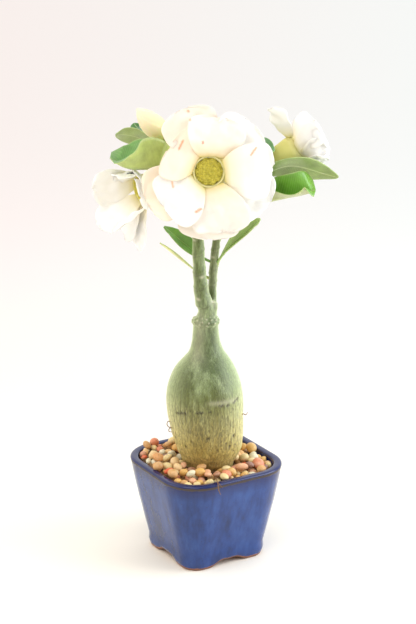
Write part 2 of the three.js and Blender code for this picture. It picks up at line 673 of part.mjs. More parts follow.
function makeBud(grow = 0) {
  const { length } = budFrame();
  const profile = [
    [0, 0.26], [0.1, 0.34], [0.25, 0.62], [0.42, 0.94], [0.56, 1], [0.72, 0.86], [0.86, 0.56], [1, 0.12],
  ];
  const rings = profile.map(([share, size]) =>
    Array.from({ length: BUD_SIDES }, (_, i) => {
      const angle = (i / BUD_SIDES) * 2 * Math.PI;
      const lap = 1 + 0.07 * Math.sin(5 * angle + share * 4);
      const r = BUD.radius * size * lap + grow;
      return new THREE.Vector3(Math.cos(angle) * r, Math.sin(angle) * r, share * length);
    }),
  );
  return placed(skin(rings), budFrame());
}

function makeBudCalyx() {
  const axis = vec(budFrame().axis).normalize();
  const base = vec(BUD.base);
  const back = (distance) => base.clone().addScaledVector(axis, -distance).toArray();
  const middle = vec(BUD.from).lerp(vec(back(5)), 0.5);
  const line = [BUD.from, middle.toArray(), back(5), back(-1)];
  const stalk = tube({ line, radii: [1.4, 1.2, 1.3, 2.3] }, STALK_SIDES, STALK_STEPS);
  const sepals = Array.from({ length: 5 }, (_, i) =>
    blade(
      petalSurface({
        angle: i * 72, root: [1, -1], length: 8, halfWidth: 1.9,
        rise: [52, 80], cup: 0.3, tilt: 0, ruffle: 0, phase: 0,
      }),
      2, 2, SEPAL_THICKNESS,
    ),
  );
  const cup = skin(ringsOf([[1.4, -2.5], [2.6, -0.8], [2.9, 1.6]], RECEPTACLE_SIDES));
  const head = placed(wasm.Manifold.union([cup, ...sepals]), budFrame());
  return wasm.Manifold.union([head, stalk]).subtract(makeBud(GAP));
}

// ---------------------------------------------------------------- assembly
const stemCutter = makeStem(GAP);
const turned = (solid) => solid.rotate([0, 0, THREE.MathUtils.radToDeg(PLANT_TURN)]);
const root = new THREE.Group();
const plant = new THREE.Group();
plant.rotation.z = PLANT_TURN;
root.add(plant);

root.add(meshOf("pot", makePot(), COLOURS.pot, 0.25));
const soil = potInside(GAP, POT_FLOOR_TOP + GAP, SOIL_TOP).subtract(turned(stemCutter));
root.add(meshOf("soil", soil, COLOURS.soil, 0.95));
root.add(meshOf("gravel", makeGravel(turned(stemCutter)), COLOURS.gravel, 0.6));
plant.add(meshOf("caudex_and_branches", makeStem(), COLOURS.stem, 0.6));
for (const [name, spec] of Object.entries(LEAVES))
  plant.add(meshOf(name, mainBody(makeLeaf(spec).subtract(stemCutter)), COLOURS.leaf, 0.45));
const FLOWERS = { front: FRONT_FLOWER, left: LEFT_FLOWER, right: RIGHT_FLOWER };
for (const [name, flower] of Object.entries(FLOWERS)) {
  plant.add(meshOf(`flower_${name}_petals`, placed(makeCorolla(flower), flower), COLOURS.petal, 0.5));
  plant.add(meshOf(`flower_${name}_stamens`, placed(makeStamens(), flower), COLOURS.throat, 0.7));
  const calyx = mainBody(makeCalyx(flower).subtract(stemCutter));
  plant.add(meshOf(`flower_${name}_calyx_and_stalk`, calyx, COLOURS.calyx, 0.5));
}
plant.add(meshOf("bud", makeBud(), COLOURS.bud, 0.5));
plant.add(meshOf("bud_calyx_and_stalk", mainBody(makeBudCalyx().subtract(stemCutter)), COLOURS.calyx, 0.5));

export default root;
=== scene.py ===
"""A potted desert rose in flower. Sizes are in millimetres until MM turns them to metres."""
import json
import math
import bmesh
import bpy
import numpy as np
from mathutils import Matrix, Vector

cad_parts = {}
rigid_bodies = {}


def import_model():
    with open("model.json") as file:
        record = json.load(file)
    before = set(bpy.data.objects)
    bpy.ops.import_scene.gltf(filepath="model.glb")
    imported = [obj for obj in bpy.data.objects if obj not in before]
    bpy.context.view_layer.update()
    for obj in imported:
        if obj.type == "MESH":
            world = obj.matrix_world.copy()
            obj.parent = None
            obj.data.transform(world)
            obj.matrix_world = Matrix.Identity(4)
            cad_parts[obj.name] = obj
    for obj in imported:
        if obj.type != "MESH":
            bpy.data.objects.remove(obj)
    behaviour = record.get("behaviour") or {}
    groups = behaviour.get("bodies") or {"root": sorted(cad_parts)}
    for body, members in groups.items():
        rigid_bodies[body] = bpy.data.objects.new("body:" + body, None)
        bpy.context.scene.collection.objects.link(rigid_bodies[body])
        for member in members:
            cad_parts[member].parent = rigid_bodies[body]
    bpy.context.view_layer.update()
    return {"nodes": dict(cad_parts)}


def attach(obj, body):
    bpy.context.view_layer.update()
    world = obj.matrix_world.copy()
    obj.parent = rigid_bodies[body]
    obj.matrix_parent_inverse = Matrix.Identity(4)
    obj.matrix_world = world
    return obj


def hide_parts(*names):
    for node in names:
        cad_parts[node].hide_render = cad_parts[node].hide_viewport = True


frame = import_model()

# ---------------------------------------------------------------- camera, floor and light
# The pot stands on a pale studio sweep. The plant's front is turned from the pot's -Y side, so the pot
# shows a corner. In the plant's own frame u runs to the right, v away and z up. Soft light comes from
# above and from both sides.
MM = 0.001
PLANT_TURN = math.radians(-31.25)
VIEW_TILT = math.radians(17.42)
VIEW_DISTANCE = 963
VIEW_TARGET = (1.36, 0, 145.7)
VIEW_LENS = 98.1


def plant_to_row(points):
    """Points of the plant's frame, in millimetres, as points of the row frame in metres."""
    points = np.asarray(points, float)
    u, v, z = points[..., 0], points[..., 1], points[..., 2]
    cos, sin = math.cos(PLANT_TURN), math.sin(PLANT_TURN)
    return np.stack([u * cos - v * sin, u * sin + v * cos, z], -1) * MM


def colour(code):
    """A linear colour from a hexadecimal sRGB code."""
    channels = [int(code[i:i + 2], 16) / 255 for i in (1, 3, 5)]
    return tuple(c / 12.92 if c <= 0.04045 else ((c + 0.055) / 1.055) ** 2.4 for c in channels) + (1.0,)


def add_node(tree, kind, values=None, **settings):
    """A node of that kind in the tree, with its settings, and its inputs set by name or index."""
    node = tree.nodes.new(kind)
    for key, value in settings.items():
        setattr(node, key, value)
    for key, value in (values or {}).items():
        if hasattr(value, "links"):
            tree.links.new(value, node.inputs[key])
        else:
            node.inputs[key].default_value = value
    return node


def object_place(tree):
    """The place on the piece, in metres."""
    return add_node(tree, "ShaderNodeTexCoord").outputs["Object"]


def worked(tree, operation, first, second=0.0, third=0.0, clamped=False):
    """One operation on up to three numbers."""
    values = {0: first, 1: second, 2: third}
    return add_node(tree, "ShaderNodeMath", values, operation=operation, use_clamp=clamped).outputs[0]


def vectors(tree, operation, first, second):
    """One operation on two vectors or colours, which gives a number or a vector."""
    node = add_node(tree, "ShaderNodeVectorMath", {0: first, 1: second}, operation=operation)
    return node.outputs["Value" if operation in ("DOT_PRODUCT", "DISTANCE") else "Vector"]


def ranged(tree, value, given, wanted=(0, 1), eased=False):
    """A number carried from one range to another and held in it. eased rounds off both ends."""
    limits = dict(zip(("From Min", "From Max", "To Min", "To Max"), (*given, *wanted)))
    kind = "SMOOTHSTEP" if eased else "LINEAR"
    return add_node(
        tree, "ShaderNodeMapRange", {"Value": value, **limits}, interpolation_type=kind,
    ).outputs[0]


def mixed(tree, factor, first, second):
    """The colour between two, by a factor."""
    values = {"Factor": factor, 6: first, 7: second}  # 6 and 7 are the node's two colours
    return add_node(tree, "ShaderNodeMix", values, data_type="RGBA").outputs[2]


def new_material(name, **values):
    """A material with one Principled shader, and that shader."""
    material = bpy.data.materials.new(name)
    material.use_nodes = True
    shader = material.node_tree.nodes["Principled BSDF"]
    for key, value in values.items():
        shader.inputs[key.replace("_", " ")].default_value = value
    return material, material.node_tree, shader


def object_of(name, data):
    """The mesh, camera or lamp as an object in the scene."""
    made = bpy.data.objects.new(name, data)
    bpy.context.scene.collection.objects.link(made)
    return made


back = np.array([0, -math.cos(VIEW_TILT), math.sin(VIEW_TILT)])
camera = object_of("camera", bpy.data.cameras.new("camera"))
eye = Vector(plant_to_row(np.array(VIEW_TARGET) + back * VIEW_DISTANCE))
camera.location = eye
camera.rotation_euler = (Vector(plant_to_row(VIEW_TARGET)) - eye).to_track_quat("-Z", "Y").to_euler()
camera.data.lens = VIEW_LENS
camera.data.sensor_width = 36
camera.data.clip_start = 0.01
camera.data.clip_end = 20
bpy.context.scene.camera = camera
bpy.context.scene.view_settings.view_transform = "Standard"

FLOOR_REACH = 6.0  # metres
floor_mesh = bpy.data.meshes.new("floor")
corners = [(x * FLOOR_REACH, y * FLOOR_REACH, 0) for x, y in ((-1, -1), (1, -1), (1, 1), (-1, 1))]
floor_mesh.from_pydata(corners, [], [(0, 1, 2, 3)])
floor = object_of("floor", floor_mesh)
# The sweep is cream near the pot. Further back it carries painted light, rosy at the left and cool at the
# right, where the tent's warm and cool light falls.
floor_paper, tree, shader = new_material("white sweep", Roughness=0.9, Specular_IOR_Level=0.1)
rightward, away = (tuple(plant_to_row(axis) / MM) for axis in ((1, 0, 0), (0, 1, 0)))
place = object_place(tree)
across = vectors(tree, "DOT_PRODUCT", place, rightward)
depth = vectors(tree, "DOT_PRODUCT", place, away)
spread = worked(tree, "ADD", depth, VIEW_DISTANCE * MM)
slant = worked(tree, "DIVIDE", across, spread)
rightness = ranged(tree, slant, (-0.12, 0.12))
painted_far_light = mixed(tree, rightness, colour("#fdf5f4"), colour("#fbfeff"))
farness = ranged(tree, depth, (0.15, 0.6), eased=True)
paper_and_painted_light = mixed(tree, farness, colour("#fbf6ec"), painted_far_light)
tree.links.new(paper_and_painted_light, shader.inputs["Base Color"])
floor_mesh.materials.append(floor_paper)

# The white tent round the plant is bright at both sides and above, warm at the left and cool at the
# right, and dim where the camera looks in.
TENT_FRONT, TENT_SIDE = 0.42, 1.2
TENT_WARM, TENT_COOL = "#fff7ea", "#f4f9ff"
world = bpy.data.worlds.new("white tent")
bpy.context.scene.world = world
world.use_nodes = True
tent = world.node_tree
direction = add_node(tent, "ShaderNodeTexCoord").outputs["Generated"]
forward = tuple(plant_to_row((0, -1, 0)) / MM)
frontness = vectors(tent, "DOT_PRODUCT", direction, forward)
sideness = vectors(tent, "DOT_PRODUCT", direction, rightward)
power = ranged(tent, frontness, (-0.1, 0.95), (TENT_SIDE, TENT_FRONT), eased=True)
warmth = ranged(tent, sideness, (-0.8, 0.8))
tint = mixed(tent, warmth, colour(TENT_WARM), colour(TENT_COOL))
lit = tent.nodes["Background"]
tent.links.new(tint, lit.inputs["Color"])
tent.links.new(power, lit.inputs["Strength"])


def soft_box(name, place, target, size, power, tint):
    """A square soft light at a place of the plant's frame, aimed at a target."""
    lamp = bpy.data.lights.new(name, "AREA")
    lamp.size = size
    lamp.energy = power
    lamp.color = colour(tint)[:3]
    box = object_of(name, lamp)
    start, end = Vector(plant_to_row(place)), Vector(plant_to_row(target))
    box.location = start
    box.rotation_euler = (end - start).to_track_quat("-Z", "Y").to_euler()


soft_box("lamp over the flowers", (-120, -330, 560), (0, -20, 225), 0.4, 1.2, "#fffaf4")
soft_box("strip at the right", (420, -60, 260), (0, 0, 110), 0.35, 1.6, "#f6fbff")
soft_box("strip at the left", (-420, -140, 300), (0, 0, 130), 0.35, 0.45, "#fffaf4")

# ---------------------------------------------------------------- pot
# A press-moulded ceramic pot with rounded corners and a foot at each of them, glazed blue inside the rim
# and out. The glaze breaks brown along the rim's edges and is wiped off the bottoms of the feet, which
# are bare reddish clay.
POT_HEIGHT = 57
POT_FLOOR_TOP = 9
POT_UNDERSIDE = 3.6
DRAIN_RADIUS = 5
FOOT_SPAN = 26
FOOT_ARCH_HEIGHT = 3.2
ARCH_FADE = 9  # height over which the wall evens out above an arch
CORNER_POINTS = 14
SIDE_POINTS = 26
# Outside, from the feet up: height, side length, corner radius, and how bare of glaze from 0 to 1.
POT_OUTSIDE = [
    (0, 51.2, 9, 1), (0.5, 52.4, 9.6, 1), (1.4, 53.2, 9.8, 0.75), (2.4, 54, 10.2, 0.1),
    (4.5, 55, 10.6, 0), (8, 54.8, 11, 0), (14, 57.6, 12.2, 0), (20, 60.5, 13.6, 0), (26, 63.2, 15, 0),
    (33, 66.6, 16.6, 0), (40, 69.6, 18.2, 0), (46, 72, 19.4, 0), (52, 74.2, 20.4, 0),
    (53.8, 74.7, 20.7, 0.1), (54.9, 75.2, 21, 0.8), (55.5, 75.7, 21.2, 0.9), (56.1, 75.7, 21.2, 0.3),
    (56.6, 75.2, 21.2, 0.15), (56.9, 74.4, 20.9, 0.1), (POT_HEIGHT, 73.2, 20.4, 0),
]
# Inside, from the rim down, and the recess between the feet, from its middle out: the same.
POT_INSIDE = [
    (POT_HEIGHT, 68.6, 18.2, 0), (56.8, 67.5, 17.6, 0.1), (56.2, 66.6, 17.3, 0.55),
    (55.2, 66.1, 17, 0.35), (53, 65.2, 16.6, 0), (50, 64, 16, 0), (30, 56, 12, 0), (13, 48, 9, 0),
    (POT_FLOOR_TOP, 43, 7, 0), (POT_FLOOR_TOP, 30, 7, 0),
]
POT_RECESS = [
    (POT_UNDERSIDE, 24, 5, 1), (POT_UNDERSIDE, 36.2, 5.4, 1), (2.6, 37.6, 6, 1), (0.4, 38.2, 6, 1),
    (0, 39, 6.2, 1),
]


def rounded_square(side, radius):
    """Points round a square with rounded corners, anticlockwise, alike in number for any size."""
    reach = side / 2 - radius
    ring = []
    for corner, (cx, cy) in enumerate([(1, 1), (-1, 1), (-1, -1), (1, -1)]):
        for i in range(CORNER_POINTS):
            angle = (corner + i / (CORNER_POINTS - 1)) * math.pi / 2
            ring.append((cx * reach + math.cos(angle) * radius, cy * reach + math.sin(angle) * radius))
        nx, ny = [(-1, 1), (-1, -1), (1, -1), (1, 1)][corner]
        last = ring[-1]
        turn = (corner + 1) * math.pi / 2
        goal = (nx * reach + math.cos(turn) * radius, ny * reach + math.sin(turn) * radius)
        for i in range(1, SIDE_POINTS):
            share = i / SIDE_POINTS
            ring.append((last[0] + (goal[0] - last[0]) * share, last[1] + (goal[1] - last[1]) * share))
    return np.array(ring)


def smooth_step(low, high, value):
    """0 up to low and 1 from high, with a soft rise between."""
    share = np.clip((value - low) / (high - low), 0, 1)
    return share * share * (3 - 2 * share)


def foot_arch(ring):
    """Height of the arch over each point of a ring, from how far along its side the point lies."""
    along = np.abs(ring).min(1)
    return FOOT_ARCH_HEIGHT * (1 - smooth_step(FOOT_SPAN * 0.15, FOOT_SPAN * 0.5, along))


def carry(mesh, shares):
    """Gives the mesh's points numbers of their own, by name."""
    for key, values in shares.items():
        own = mesh.attributes.new(key, "FLOAT", "POINT")
        own.data.foreach_set("value", np.asarray(values, np.float32).ravel())


def mesh_object(name, points, faces, material, attributes=None):
    """A smooth piece at the origin from points in metres, which may carry numbers by name."""
    mesh = bpy.data.meshes.new(name)
    mesh.from_pydata([tuple(p) for p in points], [], [tuple(map(int, f)) for f in faces])
    mesh.materials.append(material)
    mesh.shade_smooth()
    carry(mesh, attributes or {})
    return object_of(name, mesh)


def ring_faces(rings, count, closed=False):
    """Quads between neighbouring rings of count points each; closed joins the last ring to the first."""
    faces = []
    for level in range(rings if closed else rings - 1):
        for i in range(count):
            low, high = level * count, ((level + 1) % rings) * count
            j = (i + 1) % count
            faces.append((low + i, low + j, high + j, high + i))
    return faces


def seat(piece, *nodes, slot):
    """The piece stands for these nodes and moves with the whole part."""
    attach(piece, "root")
    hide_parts(*nodes)


def own_share(tree, name):
    """A number that the piece's own points carry under that name."""
    return add_node(tree, "ShaderNodeAttribute", attribute_name=name).outputs["Fac"]


def stretched(tree, place, scale):
    """The place scaled apart along the three axes."""
    return add_node(tree, "ShaderNodeMapping", {"Vector": place, "Scale": scale}).outputs[0]


def noise(tree, place, scale, detail, roughness=0.5, twist=0.0):
    """Cloudy values from 0 to 1."""
    values = {"Vector": place, "Scale": scale, "Detail": detail, "Roughness": roughness, "Distortion": twist}
    return add_node(tree, "ShaderNodeTexNoise", values).outputs["Fac"]


def cells(tree, place, scale):
    """A field of cells, by its outputs: Color is each cell's own, and Distance is from its middle."""
    return add_node(tree, "ShaderNodeTexVoronoi", {"Vector": place, "Scale": scale}).outputs


def ramp(tree, factor, hues, stepped=False):
    """Colours along a factor from (position, code) pairs in order, without blending where stepped."""
    node = add_node(tree, "ShaderNodeValToRGB", {"Fac": factor})
    node.color_ramp.interpolation = "CONSTANT" if stepped else "LINEAR"
    first, last = node.color_ramp.elements
    for element, (position, code) in ((first, hues[0]), (last, hues[-1])):
        element.position = position
        element.color = colour(code)
    for position, code in hues[1:-1]:
        node.color_ramp.elements.new(position).color = colour(code)
    return node.outputs[0]


def emboss(tree, shader, height, strength, distance):
    """Fine relief in the shader's normal, distance deep in metres."""
    values = {"Height": height, "Strength": strength, "Distance": distance}
    tree.links.new(add_node(tree, "ShaderNodeBump", values).outputs[0], shader.inputs["Normal"])


pot_rings, pot_bare = [], []
angles = np.arctan2(*rounded_square(40, 6).T[::-1])
drain = np.stack([np.cos(angles), np.sin(angles)], -1) * DRAIN_RADIUS
recess = [(z, bare, rounded_square(side, radius)) for z, side, radius, bare in POT_RECESS]
for z, bare, ring in [(POT_UNDERSIDE + 0.2, 1, drain), *recess]:
    pot_rings.append((ring, np.maximum(z, foot_arch(ring)) if z < POT_UNDERSIDE else np.full(len(ring), z)))
    pot_bare.append(bare)
for z, side, radius, bare in POT_OUTSIDE:
    ring = rounded_square(side, radius)
    lift = foot_arch(ring) * max(0, 1 - z / ARCH_FADE)
    pot_rings.append((ring, z + lift))
    pot_bare.append(bare)
for z, side, radius, bare in POT_INSIDE:
    ring = rounded_square(side, radius)
    pot_rings.append((ring, np.full(len(ring), z)))
    pot_bare.append(bare)
pot_rings.append((drain, np.full(len(drain), POT_FLOOR_TOP - 0.2)))
pot_bare.append(0.6)
pot_count = len(drain)
pot_points = np.concatenate([np.column_stack([ring, z]) for ring, z in pot_rings]) * MM

glaze, tree, shader = new_material(
    "blue glaze over red clay", Roughness=0.2, Specular_IOR_Level=0.4, Coat_Weight=0.2,
    Coat_Roughness=0.06,
)
place = object_place(tree)
clouds = noise(tree, place, 38, 5, 0.62)
runs = stretched(tree, place, (1, 1, 0.22))
streaks = noise(tree, runs, 210, 4, 0.6)
both = worked(tree, "ADD", clouds, streaks)
half = worked(tree, "MULTIPLY", both, 0.5)
tones = ramp(tree, half, [(0.32, "#14254f"), (0.5, "#203e7e"), (0.7, "#305498")])
height = add_node(tree, "ShaderNodeSeparateXYZ", {"Vector": place}).outputs["Z"]
rim_near = ranged(tree, height, (0.047, 0.055))
deeper = mixed(tree, rim_near, tones, colour("#142159"))
bare_clay = own_share(tree, "bare")
ragged = noise(tree, place, 320, 4)
worn = worked(tree, "ADD", bare_clay, ragged)
edge_mask = ranged(tree, worn, (0.85, 1.2))
clay_tone = ranged(tree, height, (0.004, 0.008))
clay = mixed(tree, clay_tone, colour("#8a5a44"), colour("#3c3029"))
skin_colour = mixed(tree, edge_mask, deeper, clay)
specks = cells(tree, place, 420)
speck_mask = ranged(tree, specks["Distance"], (0.05, 0.12), (1, 0))
speckled = mixed(tree, speck_mask, skin_colour, colour("#26283a"))
tree.links.new(speckled, shader.inputs["Base Color"])
dry = ranged(tree, edge_mask, (0, 1), (0.16, 0.55))
tree.links.new(dry, shader.inputs["Roughness"])
waves = noise(tree, place, 90, 3)
emboss(tree, shader, waves, 0.25, 0.0008)

pot = mesh_object(
    "pot_glazed", pot_points, ring_faces(len(pot_rings), pot_count, closed=True), glaze,
    attributes={"bare": np.repeat(pot_bare, pot_count)},
)
seat(pot, "pot", slot="pot")

# ---------------------------------------------------------------- soil
# Dark bonsai soil of peat crumbs, bark and grit fills the pot to just under the gravel. It shows only in
# the gaps between the stones and round the foot of the caudex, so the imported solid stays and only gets
# its finish.
SOIL_TOP = 52.4

soil_finish, tree, shader = new_material("damp potting soil", Roughness=0.95, Specular_IOR_Level=0.2)
place = object_place(tree)
crumbs = cells(tree, place, 620)
peat = ramp(tree, crumbs["Color"], [(0, "#1d1610"), (1, "#5a4633")])
tree.links.new(peat, shader.inputs["Base Color"])
emboss(tree, shader, crumbs["Distance"], 0.9, 0.0012)
soil_node = frame["nodes"]["soil"]
soil_node.data.materials.clear()
soil_node.data.materials.append(soil_finish)

# ---------------------------------------------------------------- gravel
# Tumbled river pebbles, ochre, cream, pink, salmon and brown, strewn by hand over the soil. They lie
# level in front and are banked up behind. A few are placed one by one in front, and the rest are thrown
# at random by a fixed seed.
BED_TOP = 55
BED_SLOPE = 0.055
MOUTH_SIDE = 66.4
MOUTH_CORNER = 17
CAUDEX_FOOT = 14.6
PEBBLE_SHAPES = 7
PEBBLE_SEED = 11
# Strewn layers: height over the bed, size, least spacing and number of tries.
PEBBLE_LAYERS = [(-1.4, 5.0, 3.9, 3400), (1.6, 5.8, 4.3, 6400), (2.6, 4.4, 3.6, 4200)]
# Pebbles placed one by one: u, v, height over the bed, size, tone.
PLACED_PEBBLES = [
    (-2.2, -16.4, 2.0, 6.4, 0.79), (-12.6, -24.4, 1.6, 5.6, 0.24), (-8.4, -27.4, 2.6, 6.2, 0.03),
    (-20.8, -24.0, 1.8, 6.0, 0.70), (12.2, -24.8, 2.2, 6.2, 0.66), (-16.0, -17.2, 1.4, 5.8, 0.30),
    (-21.5, -15.6, 1.2, 5.8, 0.12), (6.6, -26.0, 2.0, 5.8, 0.86), (-3.2, -24.4, 2.4, 6.8, 0.24),
    (0.6, -22.6, 1.5, 6.0, 0.46), (20.6, -15.0, 2.4, 7.4, 0.44), (30.8, -9.4, 2.2, 7.6, 0.67),
    (15.2, -20.6, 1.6, 6.2, 0.24), (12.0, -16.6, 1.8, 6.0, 0.12), (25.6, -12.6, 2.6, 6.0, 0.90),
    (-27.2, -17.4, 1.8, 6.6, 0.79), (-27.4, -5.6, 2.0, 7.4, 0.58), (-22.4, -6.2, 2.0, 6.4, 0.12),
    (-17.8, -10.2, 2.0, 6.0, 0.30), (-30.4, -1.8, 1.6, 6.0, 0.34),
]


def bed_height(x, y):
    """Height of the gravel bed at a place square to the pot."""
    return BED_TOP + BED_SLOPE * np.maximum(0, y - 0.5 * x + 24)


def depth_in_mouth(x, y):
    """How far a place lies inside the pot's mouth."""
    reach = MOUTH_SIDE / 2 - MOUTH_CORNER
    out_x, out_y = abs(x) - reach, abs(y) - reach
    return MOUTH_CORNER - math.hypot(max(out_x, 0), max(out_y, 0)) - min(max(out_x, out_y), 0)


def square_to_pot(u, v):
    """A place of the plant's frame in the pot's axes, in millimetres."""
    x, y, _ = plant_to_row((u, v, 0)) / MM
    return x, y


def pebble_places():
    """Every pebble's place, size and tone: those placed one by one first, then the strewn layers."""
    draw = np.random.default_rng(PEBBLE_SEED)
    heart = square_to_pot(1.4, 0)
    pebbles = []
    for u, v, over, size, tone in PLACED_PEBBLES:
        x, y = square_to_pot(u, v)
        pebbles.append((x, y, bed_height(x, y) + over, size, tone))
    for over, size, spacing, tries in PEBBLE_LAYERS:
        layer = [p for p in pebbles if over > 0 and p[3] > size * 0.7]
        for x, y in draw.uniform(-MOUTH_SIDE / 2, MOUTH_SIDE / 2, (tries, 2)):
            in_caudex = math.hypot(x - heart[0], y - heart[1]) < CAUDEX_FOOT + size * 0.3
            if in_caudex or depth_in_mouth(x, y) < size * 0.42:
                continue
            if any(math.hypot(x - p[0], y - p[1]) < (spacing + p[3] - size) for p in layer):
                continue
            grown = size * draw.uniform(0.78, 1.2)
            pebble = (x, y, bed_height(x, y) + over + draw.uniform(-0.6, 0.9), grown, draw.uniform(0, 1))
            layer.append(pebble)
            pebbles.append(pebble)
    return np.array(pebbles)


def pebble_shape(seed):
    """A tumbled stone of unit size: a ball squeezed two ways, with low lumps."""
    draw = np.random.default_rng(seed)
    builder = bmesh.new()
    bmesh.ops.create_icosphere(builder, subdivisions=3, radius=0.5)
    squeeze = (1, draw.uniform(0.68, 0.94), draw.uniform(0.52, 0.8))
    lumps = draw.normal(size=(5, 3))
    lumps /= np.linalg.norm(lumps, axis=1)[:, None]
    sizes = draw.uniform(-0.16, 0.12, 5)
    for vertex in builder.verts:
        toward = np.array(vertex.co.normalized())
        swell = 1 + sum(size * max(0, float(toward @ lump)) ** 2 for size, lump in zip(sizes, lumps))
        vertex.co = Vector([vertex.co[k] * squeeze[k] * swell for k in range(3)])
    mesh = bpy.data.meshes.new("pebble")
    builder.to_mesh(mesh)
    builder.free()
    mesh.shade_smooth()
    return object_of("pebble", mesh)


def node_tree(name, inputs):
    """A Geometry Nodes tree with a geometry input and output and the named inputs, each (type, default)."""
    tree = bpy.data.node_groups.new(name, "GeometryNodeTree")
    tree.interface.new_socket("Geometry", in_out="INPUT", socket_type="NodeSocketGeometry")
    for key, (kind, default) in inputs.items():
        socket = tree.interface.new_socket(key, in_out="INPUT", socket_type=kind)
        if default is not None:
            socket.default_value = default
    tree.interface.new_socket("Geometry", in_out="OUTPUT", socket_type="NodeSocketGeometry")
    return tree, tree.nodes.new("NodeGroupInput"), tree.nodes.new("NodeGroupOutput")


def plain_mesh(base):
    """The mesh of an object with its modifiers worked in, and the object is removed."""
    depsgraph = bpy.context.evaluated_depsgraph_get()
    made = bpy.data.meshes.new_from_object(base.evaluated_get(depsgraph), depsgraph=depsgraph)
    bpy.data.objects.remove(base)
    return made


def grown_by(tree, base, **values):
    """The plain mesh that a Geometry Nodes tree makes of an object, which is removed."""
    modifier = base.modifiers.new("nodes", "NODES")
    modifier.node_group = tree
    identifiers = {
        item.name: item.identifier
        for item in tree.interface.items_tree if item.in_out == "INPUT"
    }
    for key, value in values.items():
        modifier[identifiers[key.replace("_", " ")]] = value
    return plain_mesh(base)


stone, tree, shader = new_material("tumbled pebbles", Roughness=0.42, Specular_IOR_Level=0.45)
place = object_place(tree)
tone = own_share(tree, "tone")
PEBBLE_HUES = [
    (0, "#e9e4c7"), (0.07, "#ead49b"), (0.2, "#deb064"), (0.28, "#ecc992"), (0.4, "#e3ac85"),
    (0.49, "#d59679"), (0.57, "#dea368"), (0.65, "#dd8a68"), (0.68, "#d86037"), (0.70, "#d3a268"),
    (0.79, "#8d8a72"), (0.805, "#6a6a58"), (0.82, "#b07c60"), (0.86, "#9a7468"), (0.9, "#ecbf82"),
]
hues = ramp(tree, tone, PEBBLE_HUES, stepped=True)
shift = vectors(tree, "ADD", place, tone)
cloud = noise(tree, shift, 190, 5, 0.65)
pale = ranged(tree, cloud, (0.5, 0.74), (0, 0.5))
veined = mixed(tree, pale, hues, colour("#e6d2ae"))
grime = noise(tree, place, 900, 3)
dirt = ranged(tree, grime, (0.56, 0.74), (0, 0.5))
soiled = mixed(tree, dirt, veined, colour("#94714c"))
tree.links.new(soiled, shader.inputs["Base Color"])
emboss(tree, shader, cloud, 0.3, 0.0006)

# The tree puts one of the pebble shapes, turned at random, on every point, at the point's own size.
tree, start, end = node_tree("strewn pebbles", {
    "Shapes": ("NodeSocketCollection", None), "Most Tilt": ("NodeSocketFloat", 0.6),
    "Seed": ("NodeSocketInt", PEBBLE_SEED), "Finish": ("NodeSocketMaterial", None),
})
link = tree.links.new
shapes = add_node(
    tree, "GeometryNodeCollectionInfo",
    {"Collection": start.outputs["Shapes"], "Separate Children": True, "Reset Children": True},
)
tilt = worked(tree, "MULTIPLY", start.outputs["Most Tilt"], -1.0)
least = add_node(tree, "ShaderNodeCombineXYZ", {"X": tilt, "Y": tilt, "Z": 0.0})
most = add_node(
    tree, "ShaderNodeCombineXYZ",
    {"X": start.outputs["Most Tilt"], "Y": start.outputs["Most Tilt"], "Z": math.tau},
)
turn = add_node(tree, "FunctionNodeRandomValue", data_type="FLOAT_VECTOR")
link(least.outputs[0], turn.inputs["Min"])
link(most.outputs[0], turn.inputs["Max"])
link(start.outputs["Seed"], turn.inputs["Seed"])
size = add_node(tree, "GeometryNodeInputNamedAttribute", {"Name": "size"}, data_type="FLOAT")
points = add_node(tree, "GeometryNodeMeshToPoints", {"Mesh": start.outputs["Geometry"]})
strewn = add_node(tree, "GeometryNodeInstanceOnPoints", {
    "Points": points.outputs[0], "Instance": shapes.outputs[0], "Pick Instance": True,
    "Rotation": turn.outputs["Value"], "Scale": size.outputs["Attribute"],
})
solid = add_node(tree, "GeometryNodeRealizeInstances", {"Geometry": strewn.outputs[0]})
finish = add_node(
    tree, "GeometryNodeSetMaterial", {"Geometry": solid.outputs[0], "Material": start.outputs["Finish"]},
)
link(finish.outputs[0], end.inputs["Geometry"])

shape_box = bpy.data.collections.new("pebble shapes")
for seed in range(PEBBLE_SHAPES):
    shape = pebble_shape(seed)
    bpy.context.scene.collection.objects.unlink(shape)
    shape_box.objects.link(shape)
pebbles = pebble_places()
seeds_of_stones = mesh_object(
    "pebble places", pebbles[:, :3] * MM, [], stone,
    attributes={"size": pebbles[:, 3] * MM, "tone": pebbles[:, 4]},
)
gravel = object_of("gravel_pebbles", grown_by(tree, seeds_of_stones, Shapes=shape_box, Finish=stone))
for shape in list(shape_box.objects):
    bpy.data.objects.remove(shape)
bpy.data.collections.remove(shape_box)
seat(gravel, "gravel", slot="gravel")

# Coarse sand and broken grit lie under the pebbles as a crumbly bed.
grit, tree, shader = new_material("coarse grit", Roughness=0.85, Specular_IOR_Level=0.25)
place = object_place(tree)
grains = cells(tree, place, 560)
sand = ramp(tree, grains["Color"], [(0, "#3a2a1c"), (1, "#a9855a")])
tree.links.new(sand, shader.inputs["Base Color"])
emboss(tree, shader, grains["Distance"], 1.0, 0.0014)

